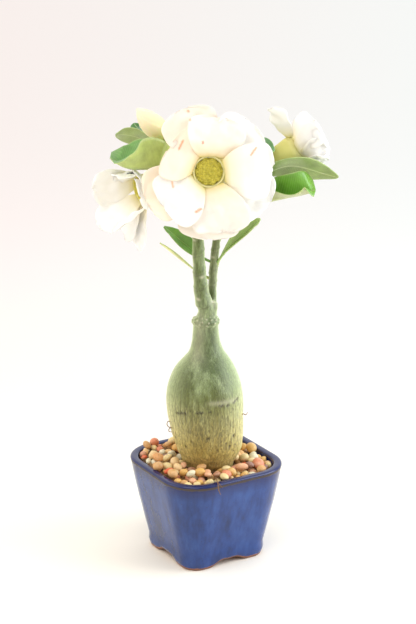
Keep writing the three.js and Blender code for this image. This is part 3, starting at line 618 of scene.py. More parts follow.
GRIT_SEED = 5
draw = np.random.default_rng(GRIT_SEED)
rim = rounded_square(MOUTH_SIDE - 0.8, MOUTH_CORNER)
shares = np.linspace(0, 1, 30)[1:]
bed_points = [(*square_to_pot(1.4, 0), BED_TOP - 2)]
for share in shares:
    for x, y in rim * share:
        lump = draw.uniform(-0.35, 0.35) if share < 0.97 else 0
        bed_points.append((x, y, float(bed_height(x, y)) - 1.9 + lump))
count = len(rim)
bed_faces = [(0, 1 + i, 1 + (i + 1) % count) for i in range(count)]
bed_faces += [tuple(1 + k for k in face) for face in ring_faces(len(shares), count)]
foot_start = len(bed_points)
bed_points += [(x * 0.985, y * 0.985, SOIL_TOP) for x, y in rim]
edge_start = foot_start - count
for i in range(count):
    j = (i + 1) % count
    bed_faces.append((edge_start + i, foot_start + i, foot_start + j, edge_start + j))
bed_faces.append(tuple(reversed(range(foot_start, foot_start + count))))
grit_bed = mesh_object("gravel_grit_bed", np.array(bed_points) * MM, bed_faces, grit)
seat(grit_bed, "gravel", slot="gravel")

# ---------------------------------------------------------------- caudex and branches
# One grown body: a swollen bottle-shaped trunk with thin wrinkled bark, green above and straw-coloured
# below, a warty collar, and two pruned branches with ring scars and warts. Its roots go down into the
# soil. Skins lofted from the same tables as the solid are fused into one mesh, and the wrinkles and scars
# are pressed into it.
CAUDEX_POINTS = 160
CAUDEX_RINGS = 260
FUSE_SIZE = 0.62  # side of a cell when the skins are fused
# Height, radius and centre along u.
CAUDEX = [
    (30, 2.5, 1.4), (38, 8.6, 1.4), (47, 12, 1.4), (54.6, 14.3, 1.4), (60, 16.8, 1.5), (65, 19.1, 1.6),
    (73, 20.8, 0.8), (83, 22, 0), (92, 22.5, -0.3), (100, 21.8, -0.4), (107, 19.8, -0.4), (113, 17, -0.3),
    (118, 13.4, 0.3), (122.5, 10, 0.5), (128, 8.1, 0.2), (134, 7.3, 0), (138.4, 7.1, 0), (139.8, 7.8, 0),
    (141.6, 7.4, 0), (143.2, 5.7, 0.5), (146, 5, 1),
]
# Centre lines as (u, v, z), and the radius at each point.
LEFT_BRANCH = (
    [
        (1.6, 0, 141), (0.8, 0, 147), (-1.6, 0, 154), (-3, 0.4, 164), (-3.8, 1, 176), (-4.3, 2.6, 192),
        (-4.4, 5, 213),
    ],
    [4.6, 4.9, 4.6, 3.9, 3.5, 3.3, 3.3],
)
RIGHT_BRANCH = (
    [(3.4, 2.5, 144), (4, 6, 149), (3.9, 7.6, 158), (4.6, 8, 170), (6.4, 8.2, 188), (10.4, 8, 214)],
    [2.4, 2.3, 2.4, 2.5, 2.3, 2.7],
)
STUB = ([(1.4, 0.4, 143), (3, 0.6, 147), (3.7, 0.6, 151.6)], [4.2, 3.7, 3.2])
ROOTS = 5


def smooth_line(values, count):
    """Samples of a smooth curve through rows of values, with even steps between each pair of rows."""
    values = np.asarray(values, float)
    padded = np.vstack([2 * values[0] - values[1], values, 2 * values[-1] - values[-2]])
    places = np.linspace(0, len(values) - 1, count)
    low = np.minimum(places.astype(int), len(values) - 2)
    share = (places - low)[:, None]
    a, b, c, d = (padded[low + k] for k in range(4))
    bend = 2 * a - 5 * b + 4 * c - d
    return 0.5 * (2 * b + (c - a) * share + bend * share ** 2 + (3 * b - 3 * c + d - a) * share ** 3)


def loft(rings):
    """Points and outward faces of a tube skinned over rings of one size, its ends closed by fans."""
    rings = np.asarray(rings)
    levels, count = rings.shape[:2]
    points = np.vstack([rings.reshape(-1, 3), rings[0].mean(0), rings[-1].mean(0)])
    faces = ring_faces(levels, count)
    top = (levels - 1) * count
    faces += [((i + 1) % count, i, len(points) - 2) for i in range(count)]
    faces += [(top + i, top + (i + 1) % count, len(points) - 1) for i in range(count)]
    return points, faces


def tube(line, radii, count, steps, swell=None):
    """A lofted tube along a smooth line of the plant's frame. swell(angle, share) scales its radius."""
    route = smooth_line(np.column_stack([line, radii]), steps + 1)
    centres, sizes = route[:, :3], route[:, 3]
    forward = np.gradient(centres, axis=0)
    forward /= np.linalg.norm(forward, axis=1)[:, None]
    side = np.cross(forward[0], (0, 1, 0) if abs(forward[0][1]) < 0.8 else (1, 0, 0))
    angles = np.arange(count) / count * math.tau
    rings = []
    for step in range(steps + 1):
        side = side - forward[step] * (side @ forward[step])
        side /= np.linalg.norm(side)
        other = np.cross(forward[step], side)
        radius = sizes[step] * (swell(angles, step / steps) if swell else np.ones(count))
        spokes = np.cos(angles)[:, None] * side + np.sin(angles)[:, None] * other
        rings.append(centres[step] + radius[:, None] * spokes)
    return loft(rings)


def joined(parts):
    """Points and faces of several parts as one list each."""
    points, faces, start = [], [], 0
    for part_points, part_faces in parts:
        points.append(part_points)
        faces += [tuple(start + k for k in face) for face in part_faces]
        start += len(part_points)
    return np.vstack(points), faces


def fused(name, parts, size, material):
    """Overlapping closed parts, in millimetres of the plant's frame, as one smooth skin of small cells."""
    points, faces = joined(parts)
    rough = mesh_object(name, plant_to_row(points), faces, material)
    remesh = rough.modifiers.new("fuse", "REMESH")
    remesh.mode = "VOXEL"
    remesh.voxel_size = size * MM
    ease = rough.modifiers.new("ease", "SMOOTH")
    ease.factor, ease.iterations = 0.5, 3
    mesh = plain_mesh(rough)
    mesh.shade_smooth()
    return object_of(name, mesh)


def coordinates(mesh):
    """A mesh's points in millimetres of the plant's frame, and its normals there."""
    flat = np.empty(len(mesh.vertices) * 3)
    mesh.vertices.foreach_get("co", flat)
    normals = np.array([n.vector for n in mesh.vertex_normals])
    cos, sin = math.cos(-PLANT_TURN), math.sin(-PLANT_TURN)
    back_turn = np.array([[cos, -sin, 0], [sin, cos, 0], [0, 0, 1]])
    return flat.reshape(-1, 3) @ back_turn.T / MM, normals @ back_turn.T


def press(mesh, depths):
    """Moves each point along its normal by its depth in millimetres."""
    points, normals = coordinates(mesh)
    mesh.vertices.foreach_set("co", plant_to_row(points + normals * depths[:, None]).ravel())
    mesh.update()


def hump(value, width):
    """1 where the value is 0, falling off softly over the width."""
    return np.exp(-((value / width) ** 2))


def band(rise, fall, value):
    """1 between two soft steps, each given as (low, high), and 0 outside them."""
    return smooth_step(*rise, value) * (1 - smooth_step(*fall, value))


profile = smooth_line(CAUDEX, CAUDEX_RINGS)
angles = np.arange(CAUDEX_POINTS) / CAUDEX_POINTS * math.tau
rings = []
for z, radius, u in profile:
    swell = 1 + 0.018 * np.sin(2 * angles + z / 19) + 0.014 * np.sin(3 * angles - z / 13)
    reach = radius * swell
    ring = [u + reach * np.cos(angles), reach * np.sin(angles), np.full(CAUDEX_POINTS, z)]
    rings.append(np.column_stack(ring))
stem_parts = [loft(rings)]


def branch_rings(angles, share):
    """Slight swellings where leaves once stood."""
    return 1 + 0.035 * np.sin(share * 46 + 0.7 * np.cos(angles)) * (share > 0.08)


stem_parts.append(tube(*LEFT_BRANCH, 48, 120, branch_rings))
stem_parts.append(tube(*RIGHT_BRANCH, 40, 110, branch_rings))
stem_parts.append(tube(*STUB, 40, 20))
for i in range(ROOTS):
    turn = i / ROOTS * math.tau + 0.5
    route = [(4, 40, 0), (10, 34, 0.1), (15, 27, 0.35), (16, 18 + 1.5 * (i % 2), 0.6)]
    line = [(1.4 + math.cos(turn + bend) * out, math.sin(turn + bend) * out, z) for out, z, bend in route]
    stem_parts.append(tube(line, [3.4, 2.6, 1.8, 0.9], 16, 14))

bark, tree, shader = new_material(
    "thin green bark", Roughness=0.42, Specular_IOR_Level=0.5, Subsurface_Weight=0.08,
    Subsurface_Scale=0.004, Coat_Weight=0.12, Coat_Roughness=0.35,
)
shader.inputs["Subsurface Radius"].default_value = (0.6, 0.9, 0.25)
place = object_place(tree)
height = add_node(tree, "ShaderNodeSeparateXYZ", {"Vector": place}).outputs["Z"]
sway = noise(tree, place, 46, 4, 0.6)
drift = ranged(tree, sway, (0, 1), (-0.012, 0.012))
wavy = worked(tree, "ADD", height, drift)
level = ranged(tree, wavy, (0.055, 0.225))
BARK_HUES = [
    (0, "#8b713c"), (0.06, "#967f3e"), (0.13, "#897a3c"), (0.2, "#736e39"), (0.27, "#59602c"),
    (0.36, "#4e5d2c"), (0.46, "#525f38"), (0.56, "#58643c"), (0.75, "#5a6832"), (1, "#647c34"),
]
hues = ramp(tree, level, BARK_HUES)
# Greyish wax lies in runs down the skin, and a painted sheen pales the skin where it turns away from the
# view.
runs = stretched(tree, place, (1, 1, 0.25))
blotches = noise(tree, runs, 130, 6, 0.7)
bloom = ranged(tree, blotches, (0.46, 0.72), (0, 0.5))
aside = add_node(tree, "ShaderNodeLayerWeight", {"Blend": 0.42}).outputs["Facing"]
turned = ranged(tree, aside, (0.1, 0.75), (0, 0.85))
wax_and_sheen_share = worked(tree, "MAXIMUM", bloom, turned)
wax_tone = ranged(tree, height, (0.07, 0.105))
wax_and_sheen_tone = mixed(tree, wax_tone, colour("#d8cc86"), colour("#bfd09c"))
waxed_and_sheened = mixed(tree, wax_and_sheen_share, hues, wax_and_sheen_tone)
# A net of fine upright wrinkles, strongest below the crack, with painted shade in their creases and painted
# light on their ridges.
drawn = stretched(tree, place, (1, 1, 0.24))
creases = noise(tree, drawn, 1150, 2, twist=1.1)
low_net = ranged(tree, wavy, (0.094, 0.102), (0.38, 0.2))
least = worked(tree, "SUBTRACT", 1.0, low_net)
most = worked(tree, "ADD", 1.0, low_net)
crease_shading = ranged(tree, creases, (0.36, 0.64), (least, most))
crease_shaded = vectors(tree, "MULTIPLY", waxed_and_sheened, crease_shading)
marks = own_share(tree, "scar")
scarred = mixed(tree, marks, crease_shaded, colour("#332b14"))
# The pale share is cork, dried sap, pores and scars, and also painted light on the neck and the right
# branch.
pale_marks_and_light = own_share(tree, "pale")
pale_marked_and_lit = mixed(tree, pale_marks_and_light, scarred, colour("#cfcab0"))
pits = cells(tree, place, 430)
some = noise(tree, place, 90, 2)
some_share = ranged(tree, some, (0.46, 0.6))
low_only = ranged(tree, height, (0.086, 0.074), (0, 0.9))
spots = ranged(tree, pits["Distance"], (0.14, 0.26), (1, 0))
low_spots = worked(tree, "MULTIPLY", spots, low_only)
few_spots = worked(tree, "MULTIPLY", low_spots, some_share)
spotted = mixed(tree, few_spots, pale_marked_and_lit, colour("#5f4720"))
tree.links.new(spotted, shader.inputs["Base Color"])
emboss(tree, shader, creases, 0.5, 0.0006)

stem = fused("caudex_and_branches_bark", stem_parts, FUSE_SIZE, bark)
points, _ = coordinates(stem.data)
u, v, z = points.T
around = np.degrees(np.arctan2(u, -v))  # 0 in front, 90 at the right
NECK_FOOT = 128
on_caudex = z < NECK_FOOT
depths = np.zeros(len(points))
# Fine wrinkles run down the caudex and deepen towards its foot.
for waves, phase in [(41, 0.4), (63, 1.9), (86, 0.2)]:
    wobble = 1.6 * np.sin(z / 5 + phase) + 0.9 * np.sin(z / 2.3 + 2 * phase)
    depths += np.where(on_caudex, 0.04 * np.sin(np.radians(around) * waves + wobble), 0)
depths *= 0.3 + 0.9 * (1 - smooth_step(84, 104, z))
# Low folds ring its foot.
FOLDS_TOP = 74
folds = 0.22 * np.sin(z * 1.1 + 2 * np.sin(np.radians(around) * 3)) * (1 - smooth_step(60, FOLDS_TOP, z))
depths += np.where(z < FOLDS_TOP, folds, 0)
# A dry crack where the bark split, in pieces: degrees round from and to, along a line that steps up to
# the right.
CRACK_PIECES = [(-50, -28), (-14, -2), (3.5, 8.5), (18, 28), (31, 38), (43, 62)]
CRACK_LINE = [(-50, 90.2), (-28, 92), (-13, 92.9), (8, 93.5), (18, 96.9), (38, 96), (62, 98)]
crack_height = np.interp(around, *np.transpose(CRACK_LINE)) + 0.35 * np.sin(around * 1.3)
in_piece = np.zeros(len(points))
for low, high in CRACK_PIECES:
    in_piece += band((low, low + 1.5), (high - 1.5, high), around)
wide = 0.62 + 0.3 * np.sin(around * 0.8)
crack = hump(z - crack_height, wide) * in_piece * on_caudex
depths -= 0.35 * crack
scar = crack * 0.95
# A pale smear of dried sap runs over its right part.
SMEAR_HEIGHT = 98.8
smeared = hump(z - SMEAR_HEIGHT + 0.02 * around, 1.3) * band((-4, 12), (48, 60), around)
pale = 0.3 * smeared * on_caudex
# A painted highlight pales the left of the neck, and painted light pales the right branch.
neck_painted_highlight = band((114, 124), (140, 150), z) * hump(around + 30, 26)
branch_painted_light = smooth_step(154, 162, z) * smooth_step(0.2, 1.4, u)
pale += 0.22 * neck_painted_highlight + 0.12 * branch_painted_light
# Pinholes near the foot: degrees round, height, radius.
PINHOLES = [
    (3.6, 77.2, 0.95), (48, 76.4, 1.1), (-63, 73, 1.0), (33.5, 72.8, 0.7), (41, 70.4, 0.8),
    (-35, 70.3, 0.7), (18, 69.4, 0.5),
]
for pin_around, pin_z, pin_radius in PINHOLES:
    reach = np.hypot(np.radians(around - pin_around) * 20.5, z - pin_z)
    hole = hump(reach, pin_radius) * on_caudex
    depths -= 0.5 * hole
    scar = np.maximum(scar, hole)
# Bumps and pale breathing pores ring the collar where the caudex was cut back.
COLLAR_HEIGHT = 141.5
collar = hump(z - COLLAR_HEIGHT, 3.2)
bead_rows = np.sin(z * 1.9 + np.radians(around) * 2)
beads = np.maximum(0, np.sin(np.radians(around) * 13 + 1.5 * np.sin(z * 0.9)) * bead_rows)
depths += 0.5 * collar * beads
pale = np.maximum(pale, 0.75 * collar * smooth_step(0.55, 0.9, beads))
# Rings left by fallen leaves, by their height on the left branch and on the right one.
LEFT_RINGS = (152, 163, 171.5, 182, 190.5, 199)
RIGHT_RINGS = (157, 166, 176, 187, 197)
BRANCH_FOOT = 148
BETWEEN_BRANCHES = 2.2
for heights, on_branch in ((LEFT_RINGS, u < BETWEEN_BRANCHES), (RIGHT_RINGS, u > BETWEEN_BRANCHES)):
    here = on_branch & (z > BRANCH_FOOT)
    for ring_z in heights:
        tilted = z - ring_z - 0.35 * (u + v)
        ridge = 0.22 * hump(tilted, 0.7) - 0.15 * hump(tilted + 1, 0.5)
        groove = 0.3 * hump(tilted + 1, 0.45)
        depths += np.where(here, ridge, 0)
        scar = np.maximum(scar, np.where(here, groove, 0))
# Pale scars where single leaves stood: across, up, and half as wide as they show.
LEAF_SCARS = [
    (-7.6, 174, 1.2), (-2, 167.6, 1.2), (4, 175, 1.5), (-6.4, 188, 1), (-4.2, 155, 1.2), (4.6, 190, 1),
]
for scar_across, scar_up, scar_width in LEAF_SCARS:
    patch = hump(u - scar_across, scar_width) * hump(z - scar_up - 0.2 * v, 0.75)
    pale = np.maximum(pale, 0.7 * patch)
# The cut face of the stub has healed over with pale cork.
STUB_TOP = (3.7, 0.4, 151.8)
from_stub = np.linalg.norm(points - np.array(STUB_TOP), axis=1)
pale = np.maximum(pale, hump(from_stub, 2.6))
press(stem.data, depths)
carry(stem.data, {"scar": np.clip(scar, 0, 1), "pale": np.clip(pale, 0, 1)})
seat(stem, "caudex_and_branches", slot="stem")

# Dry hair roots curl from the foot of the caudex, and one hangs over the pot's rim.
HAIR_ROOT_RADIUS = 0.24
HAIR_ROOTS = [
    [(-19.2, -5, 80.6), (-21.4, -6, 81.8), (-22.2, -6, 80), (-21, -6, 78.2), (-19.2, -6, 78.6)],
    [(-19, -7, 78.2), (-20.8, -8, 78.2), (-21, -8, 76.4), (-19.2, -7, 75.6)],
    [(20.2, -4, 84.4), (21.6, -5, 86), (23, -5, 85.4), (24.2, -4, 86.6)],
    [(5.4, -28, 56.8), (5.8, -34, 58.4), (6.8, -40, 57.9), (7.4, -44.2, 55.4), (8.4, -45, 53)],
    [(6.2, -33, 58.2), (6.6, -38, 58), (9.4, -43, 56.4)],
]
hair_root, _, _ = new_material("dry hair roots", Roughness=0.8, Base_Color=colour("#7d5a3a"))
hairs = []
for line in HAIR_ROOTS:
    radii = [HAIR_ROOT_RADIUS] * (len(line) - 1) + [HAIR_ROOT_RADIUS * 0.5]
    hairs.append(tube(line, radii, 8, 30))
points, faces = joined(hairs)
loose_roots = mesh_object("caudex_hair_roots", plant_to_row(points), faces, hair_root)
seat(loose_roots, "caudex_and_branches", slot="stem")

# ---------------------------------------------------------------- leaves
# Leathery leaves on short stalks: glossy green above with a pale midrib, paler grey-green below, and many
# of them folded up along the midrib. Each is one closed blade over the same surface as its solid, thinned
# to its edges.
LEAF_EDGE = 0.36  # thickness at the edges
LEAF_MIDDLE = 0.9
PETIOLE_RADIUS = 1
FOLD_SHARE = 0.12  # of the blade, over which it folds at each end
LEAF_GRID = (72, 20)  # cells along and across
# Midrib through four points, how steeply the left and right halves stand at base, middle and tip, and the
# outline.
LEAVES = {
    "leaf_left_near": dict(
        line=[(-5.6, 1.8, 200), (-22.4, -11.8, 228.4), (-36, -17.5, 232.2), (-51.3, -21.1, 239.2)],
        left=(94, 73, 21), right=(74, 50, 41), half_width=17.9, stalk=0.35, widest=0.39, taper=0.22,
        upper="#6a9a4a", lower="#bccb7a",
    ),
    "leaf_left_far": dict(
        line=[(-5.8, 7.6, 203), (-21.6, 15.4, 230.4), (-36.5, 15, 242.8), (-49.2, 4.6, 246.9)],
        left=(45, 34, 75), right=(-16, -56, -32), half_width=6.4, stalk=0.3, upper="#8fa86a",
        lower="#a5b57c",
    ),
    "leaf_left_top": dict(
        line=[(-2.2, 7, 206), (-21.5, 23.8, 232.6), (-34, 20.6, 243.6), (-39.8, 19.2, 250.2)],
        left=(-38, -12, -22), right=(48, 36, 32), half_width=6, widest=0.58, taper=0.66, upper="#3f7434",
        lower="#7a9a66",
    ),
    "leaf_left_low": dict(
        line=[(-4.6, 4.5, 190), (-9, 9, 193), (-14, 13, 197), (-20.5, 14, 201)],
        left=(0, -7, -7), right=(40, 47, 47), half_width=4.5, upper="#6d9a45", lower="#9fb274",
    ),
    "leaf_left_back": dict(
        line=[(-3, 7.5, 196), (-5, 20, 211), (-10, 32, 222), (-17, 46, 223)],
        left=(20, 20, 10), right=(20, 20, 10), half_width=10, upper="#54853f", lower="#94a86c",
    ),
    "leaf_right_long": dict(
        line=[(10.8, 6.6, 207.5), (36.5, -8, 229.4), (51.9, -5, 231.1), (73.2, -3.6, 224.7)],
        left=(-38, -59, -41), right=(58, 36, 64), half_width=10.8, widest=0.54, taper=0.74,
        upper="#7a964a", lower="#8fa45f",
    ),
    "leaf_right_near": dict(
        line=[(10.2, 6.2, 201), (34, -5, 210.9), (49.5, -10.5, 215.5), (60, -12.7, 219)],
        left=(53, 101, 68), right=(93, 18, 45), half_width=13.8, stalk=0.26, widest=0.6, taper=0.15,
        upper="#74aa3c", lower="#a8b272",
    ),
    "leaf_right_upright": dict(
        line=[(9, 9.6, 210.5), (26.6, 6.9, 238.9), (32.2, -2.5, 241.2), (37.3, -13.5, 241.8)],
        left=(64, 65, 47), right=(-52, -27, -28), half_width=5.4, widest=0.67, upper="#4f8f4c",
        lower="#94b371",
    ),
    "leaf_right_back": dict(
        line=[(9.6, 9.6, 204.5), (14, 21, 218), (21, 34, 227), (31, 47, 225)],
        left=(20, 20, 10), right=(20, 20, 10), half_width=10, upper="#54853f", lower="#94a86c",
    ),
    "leaf_low_left_broad": dict(
        line=[(3.6, 8.6, 173), (-2.3, 9.4, 175.5), (-12.1, 13.9, 181.9), (-23.6, 15.4, 191.5)],
        left=(-21, -7, -16), right=(52, 73, 41), half_width=5.4, stalk=0.3, widest=0.54, taper=0.77,
        upper="#74a347", lower="#91a25c",
    ),
    "leaf_low_left_thin": dict(
        line=[(3.2, 8.8, 162.6), (-5.5, 11, 166.8), (-15.5, 14, 173.8), (-26, 16, 181.8)],
        left=(30, 34, 30), right=(0, 4, 0), half_width=3, stalk=0.36, upper="#b9c06a", lower="#e0e19b",
    ),
    # This leaf's tones are lightened as painted light, where the flower shades it.
    "leaf_low_right": dict(
        line=[(6.4, 7.6, 170.5), (12.1, 5.9, 180.4), (21.9, 6.6, 188.7), (30.5, 4.1, 198.9)],
        left=(85, 88, 78), right=(-14, 10, -22), half_width=6.8, widest=0.65, taper=0.88,
        upper="#b2cc80", lower="#a8ba76",
    ),
    "leaf_mid_right": dict(
        line=[(7.2, 8.8, 184), (11, 11, 191), (16, 14, 196.5), (22.5, 16, 201)],
        left=(60, 60, 60), right=(0, 0, 0), half_width=4, stalk=0.24, upper="#6d9a45", lower="#a4b76c",
    ),
}


def unit(vectors):
    """The vectors at length one."""
    return vectors / np.maximum(np.linalg.norm(vectors, axis=-1, keepdims=True), 1e-9)


def leaf_surface(line, left, right, half_width, stalk=0.2, widest=0.62, taper=0.72):
    """A leaf's middle surface over s, 0 to 1 along it, and t, -1 to 1 across it."""
    a, b, c, d = np.array(line, float)
    controls = [a, (-5 * a + 18 * b - 9 * c + 2 * d) / 6, (2 * a - 9 * b + 18 * c - 5 * d) / 6, d]
    power = math.log(0.5) / math.log(widest)
    narrow = PETIOLE_RADIUS * 0.8

    def bent(angles, share):
        base, middle, tip = angles
        near = base * (1 - share) * (1 - 2 * share)
        return near + middle * 4 * share * (1 - share) + tip * share * (2 * share - 1)

    def surface(s, t):
        rest = 1 - s
        weights = [rest ** 3, 3 * rest ** 2 * s, 3 * rest * s ** 2, s ** 3]
        slopes = [-3 * rest ** 2, 3 * rest * (rest - 2 * s), 3 * s * (2 * rest - s), 3 * s ** 2]
        centre = sum(w[..., None] * p for w, p in zip(weights, controls))
        along = unit(sum(w[..., None] * p for w, p in zip(slopes, controls)))
        side = unit(np.stack([along[..., 1], -along[..., 0], np.zeros_like(s)], -1))
        up = np.cross(side, along)
        share = np.maximum(0, (s - stalk) / (1 - stalk))
        stand_left, stand_right = bent(left, share), bent(right, share)
        flat = (stand_left - stand_right) / 2
        folded = np.minimum(np.minimum(share, 1 - share), FOLD_SHARE) / FOLD_SHARE
        turn = np.where(t < 0, flat + (stand_left - flat) * folded, -flat + (stand_right + flat) * folded)
        turn = np.radians(turn)
        outline = np.maximum(0, np.sin(math.pi * share ** power)) ** taper
        reach = np.abs(t) * (narrow + (half_width - narrow) * outline)
        aside = side * (np.sign(t) * reach * np.cos(turn))[..., None]
        return centre + aside + up * (reach * np.sin(turn))[..., None]

    return surface


def across_surface(surface, s, t, step):
    """The direction square to surface(s, t), measured over a step to each side."""
    ds = surface(np.minimum(s + step, 1), t) - surface(np.maximum(s - step, 0), t)
    dt = surface(s, np.minimum(t + step, 1)) - surface(s, np.maximum(t - step, -1))
    return unit(np.cross(ds, dt))


def blade(surface, along, across, depth):
    """Points, faces and shares of a closed blade, depth(s, t) thick, over surface(s, t)."""
    s, t = np.meshgrid(np.linspace(0, 1, along + 1), np.linspace(-1, 1, across + 1), indexing="ij")
    half = depth(s, t)[..., None] * across_surface(surface, s, t, 0.006) / 2
    middle = surface(s, t)
    points = np.concatenate([(middle + half).reshape(-1, 3), (middle - half).reshape(-1, 3)])
    row = across + 1
    below = (along + 1) * row
    faces = []
    for i in range(along):
        for j in range(across):
            a = i * row + j
            faces.append((a, a + row, a + row + 1, a + 1))
            faces.append((a + below, a + below + 1, a + below + row + 1, a + below + row))
    edges = [(j, j + 1) for j in range(across)]
    edges += [(along * row + j + 1, along * row + j) for j in range(across)]
    edges += [((i + 1) * row, i * row) for i in range(along)]
    edges += [(i * row + across, (i + 1) * row + across) for i in range(along)]
    faces += [(a, b, b + below, a + below) for a, b in edges]
    shares = {
        "along": np.tile(s.ravel(), 2), "across": np.tile(t.ravel(), 2),
        "under": np.repeat([0.0, 1.0], below),
    }
    return points, faces, shares


def leaf_skin_group():
    """Leaf colour from an upper and a lower tone, with a pale midrib, veins, edge and mottling."""
    group = bpy.data.node_groups.new("leaf skin", "ShaderNodeTree")
    kinds = {"Upper": "Color", "Lower": "Color", "Along": "Float", "Across": "Float", "Under": "Float"}
    for key, kind in kinds.items():
        group.interface.new_socket(key, in_out="INPUT", socket_type="NodeSocket" + kind)
    group.interface.new_socket("Color", in_out="OUTPUT", socket_type="NodeSocketColor")
    group.interface.new_socket("Relief", in_out="OUTPUT", socket_type="NodeSocketFloat")
    start, end = group.nodes.new("NodeGroupInput"), group.nodes.new("NodeGroupOutput")

    along, across, under = (start.outputs[key] for key in ("Along", "Across", "Under"))
    place = object_place(group)
    tone = mixed(group, under, start.outputs["Upper"], start.outputs["Lower"])
    mottle = noise(group, place, 150, 5, 0.6)
    patchy = ranged(group, mottle, (0.35, 0.7), (0.82, 1.16))
    shaded = vectors(group, "MULTIPLY", tone, patchy)
    away = worked(group, "ABSOLUTE", across)
    # Side veins leave the midrib forwards at an even spacing.
    lean = worked(group, "MULTIPLY", away, -5.0)
    rows = worked(group, "MULTIPLY_ADD", along, 30.0, lean)
    spot = worked(group, "SUBTRACT", worked(group, "FRACT", rows), 0.5)
    wave = worked(group, "ABSOLUTE", spot)
    vein = ranged(group, wave, (0, 0.12), (0.22, 0))
    rib = ranged(group, away, (0.03, 0.085), (0.75, 0))
    edge = ranged(group, away, (0.95, 1), (0, 0.5))
    ribs = worked(group, "MAXIMUM", vein, rib)
    pale = mixed(group, worked(group, "MAXIMUM", ribs, edge), shaded, colour("#c6d398"))
    group.links.new(pale, end.inputs["Color"])
    group.links.new(ribs, end.inputs["Relief"])
    return group


leaf_skin = leaf_skin_group()


def leaf_material(name, upper, lower):
    """Glossy leather-like leaf with its own upper and lower colour."""
    material, tree, shader = new_material(
        name, Roughness=0.36, Specular_IOR_Level=0.5, Subsurface_Weight=0.12, Subsurface_Scale=0.002,
        Coat_Weight=0.15, Coat_Roughness=0.25,
    )
    shader.inputs["Subsurface Radius"].default_value = (0.5, 1.0, 0.2)
    skin = add_node(tree, "ShaderNodeGroup", node_tree=leaf_skin)
    skin.inputs["Upper"].default_value = colour(upper)
    skin.inputs["Lower"].default_value = colour(lower)
    for key in ("Along", "Across", "Under"):
        tree.links.new(own_share(tree, key.lower()), skin.inputs[key])
    tree.links.new(skin.outputs["Color"], shader.inputs["Base Color"])
    emboss(tree, shader, skin.outputs["Relief"], 0.4, 0.0005)
    return material


def leaf_depth(stalk):
    """A leaf's thickness over s and t: round along the stalk, and thin at the edges of the blade."""
    def depth(s, t):
        stem = np.clip(s / stalk, 0, 1)
        thick = 2 * PETIOLE_RADIUS + (LEAF_MIDDLE - 2 * PETIOLE_RADIUS) * stem
        rounding = np.sqrt(np.maximum(0, 1 - t ** 2)) * (1 - stem) + (1 - np.abs(t) ** 3) * stem
        return LEAF_EDGE + (thick - LEAF_EDGE) * rounding

    return depth


for name, leaf in LEAVES.items():
    form = {key: value for key, value in leaf.items() if key not in ("upper", "lower")}
    depth = leaf_depth(form.get("stalk", 0.2))
    points, faces, shares = blade(leaf_surface(**form), *LEAF_GRID, depth)
    shares["under"] = 1 - shares["under"]  # the blade's first side is a leaf's underside
    finish = leaf_material(name.replace("_", " "), leaf["upper"], leaf["lower"])
    piece = mesh_object(name + "_blade", plant_to_row(points), faces, finish, attributes=shares)
    seat(piece, name, slot="leaf")

# ---------------------------------------------------------------- flowers
# Three double blooms. Each has a fleshy yellow-green tube with five sepals at its foot, two whorls of
# soft cream petals rolled back at their edges, and a felted button of anthers in the throat, on a green
# stalk.
TUBE_LENGTH = 25
THROAT_RADIUS = 7.8
TUBE_OUTSIDE = [
    (1.9, -TUBE_LENGTH), (2.7, -21.5), (4.8, -17), (6.7, -11.5), (8, -5), (THROAT_RADIUS + 0.9, 0.2),
]
TUBE_INSIDE = [(THROAT_RADIUS, 0.2), (7.2, -3), (5.6, -8), (3, -12)]
STAMENS = [(2.4, -11.4), (6.5, -3.4), (6.9, -0.8), (5.4, 0.5), (2.6, 1.1)]
OUTER_ROOT = (THROAT_RADIUS + 0.6, -1.6)
INNER_ROOT = (THROAT_RADIUS + 0.5, -0.4)
PETAL_WIDEST = 0.68
PETAL_DEPTH = 0.7
PETAL_EDGE = 0.3
PETAL_CRUMPLE = 0.4  # depth of the soft dents
PETAL_GRID = (44, 30)
SEPAL_LENGTH = 8
SEPAL_GRID = (16, 10)
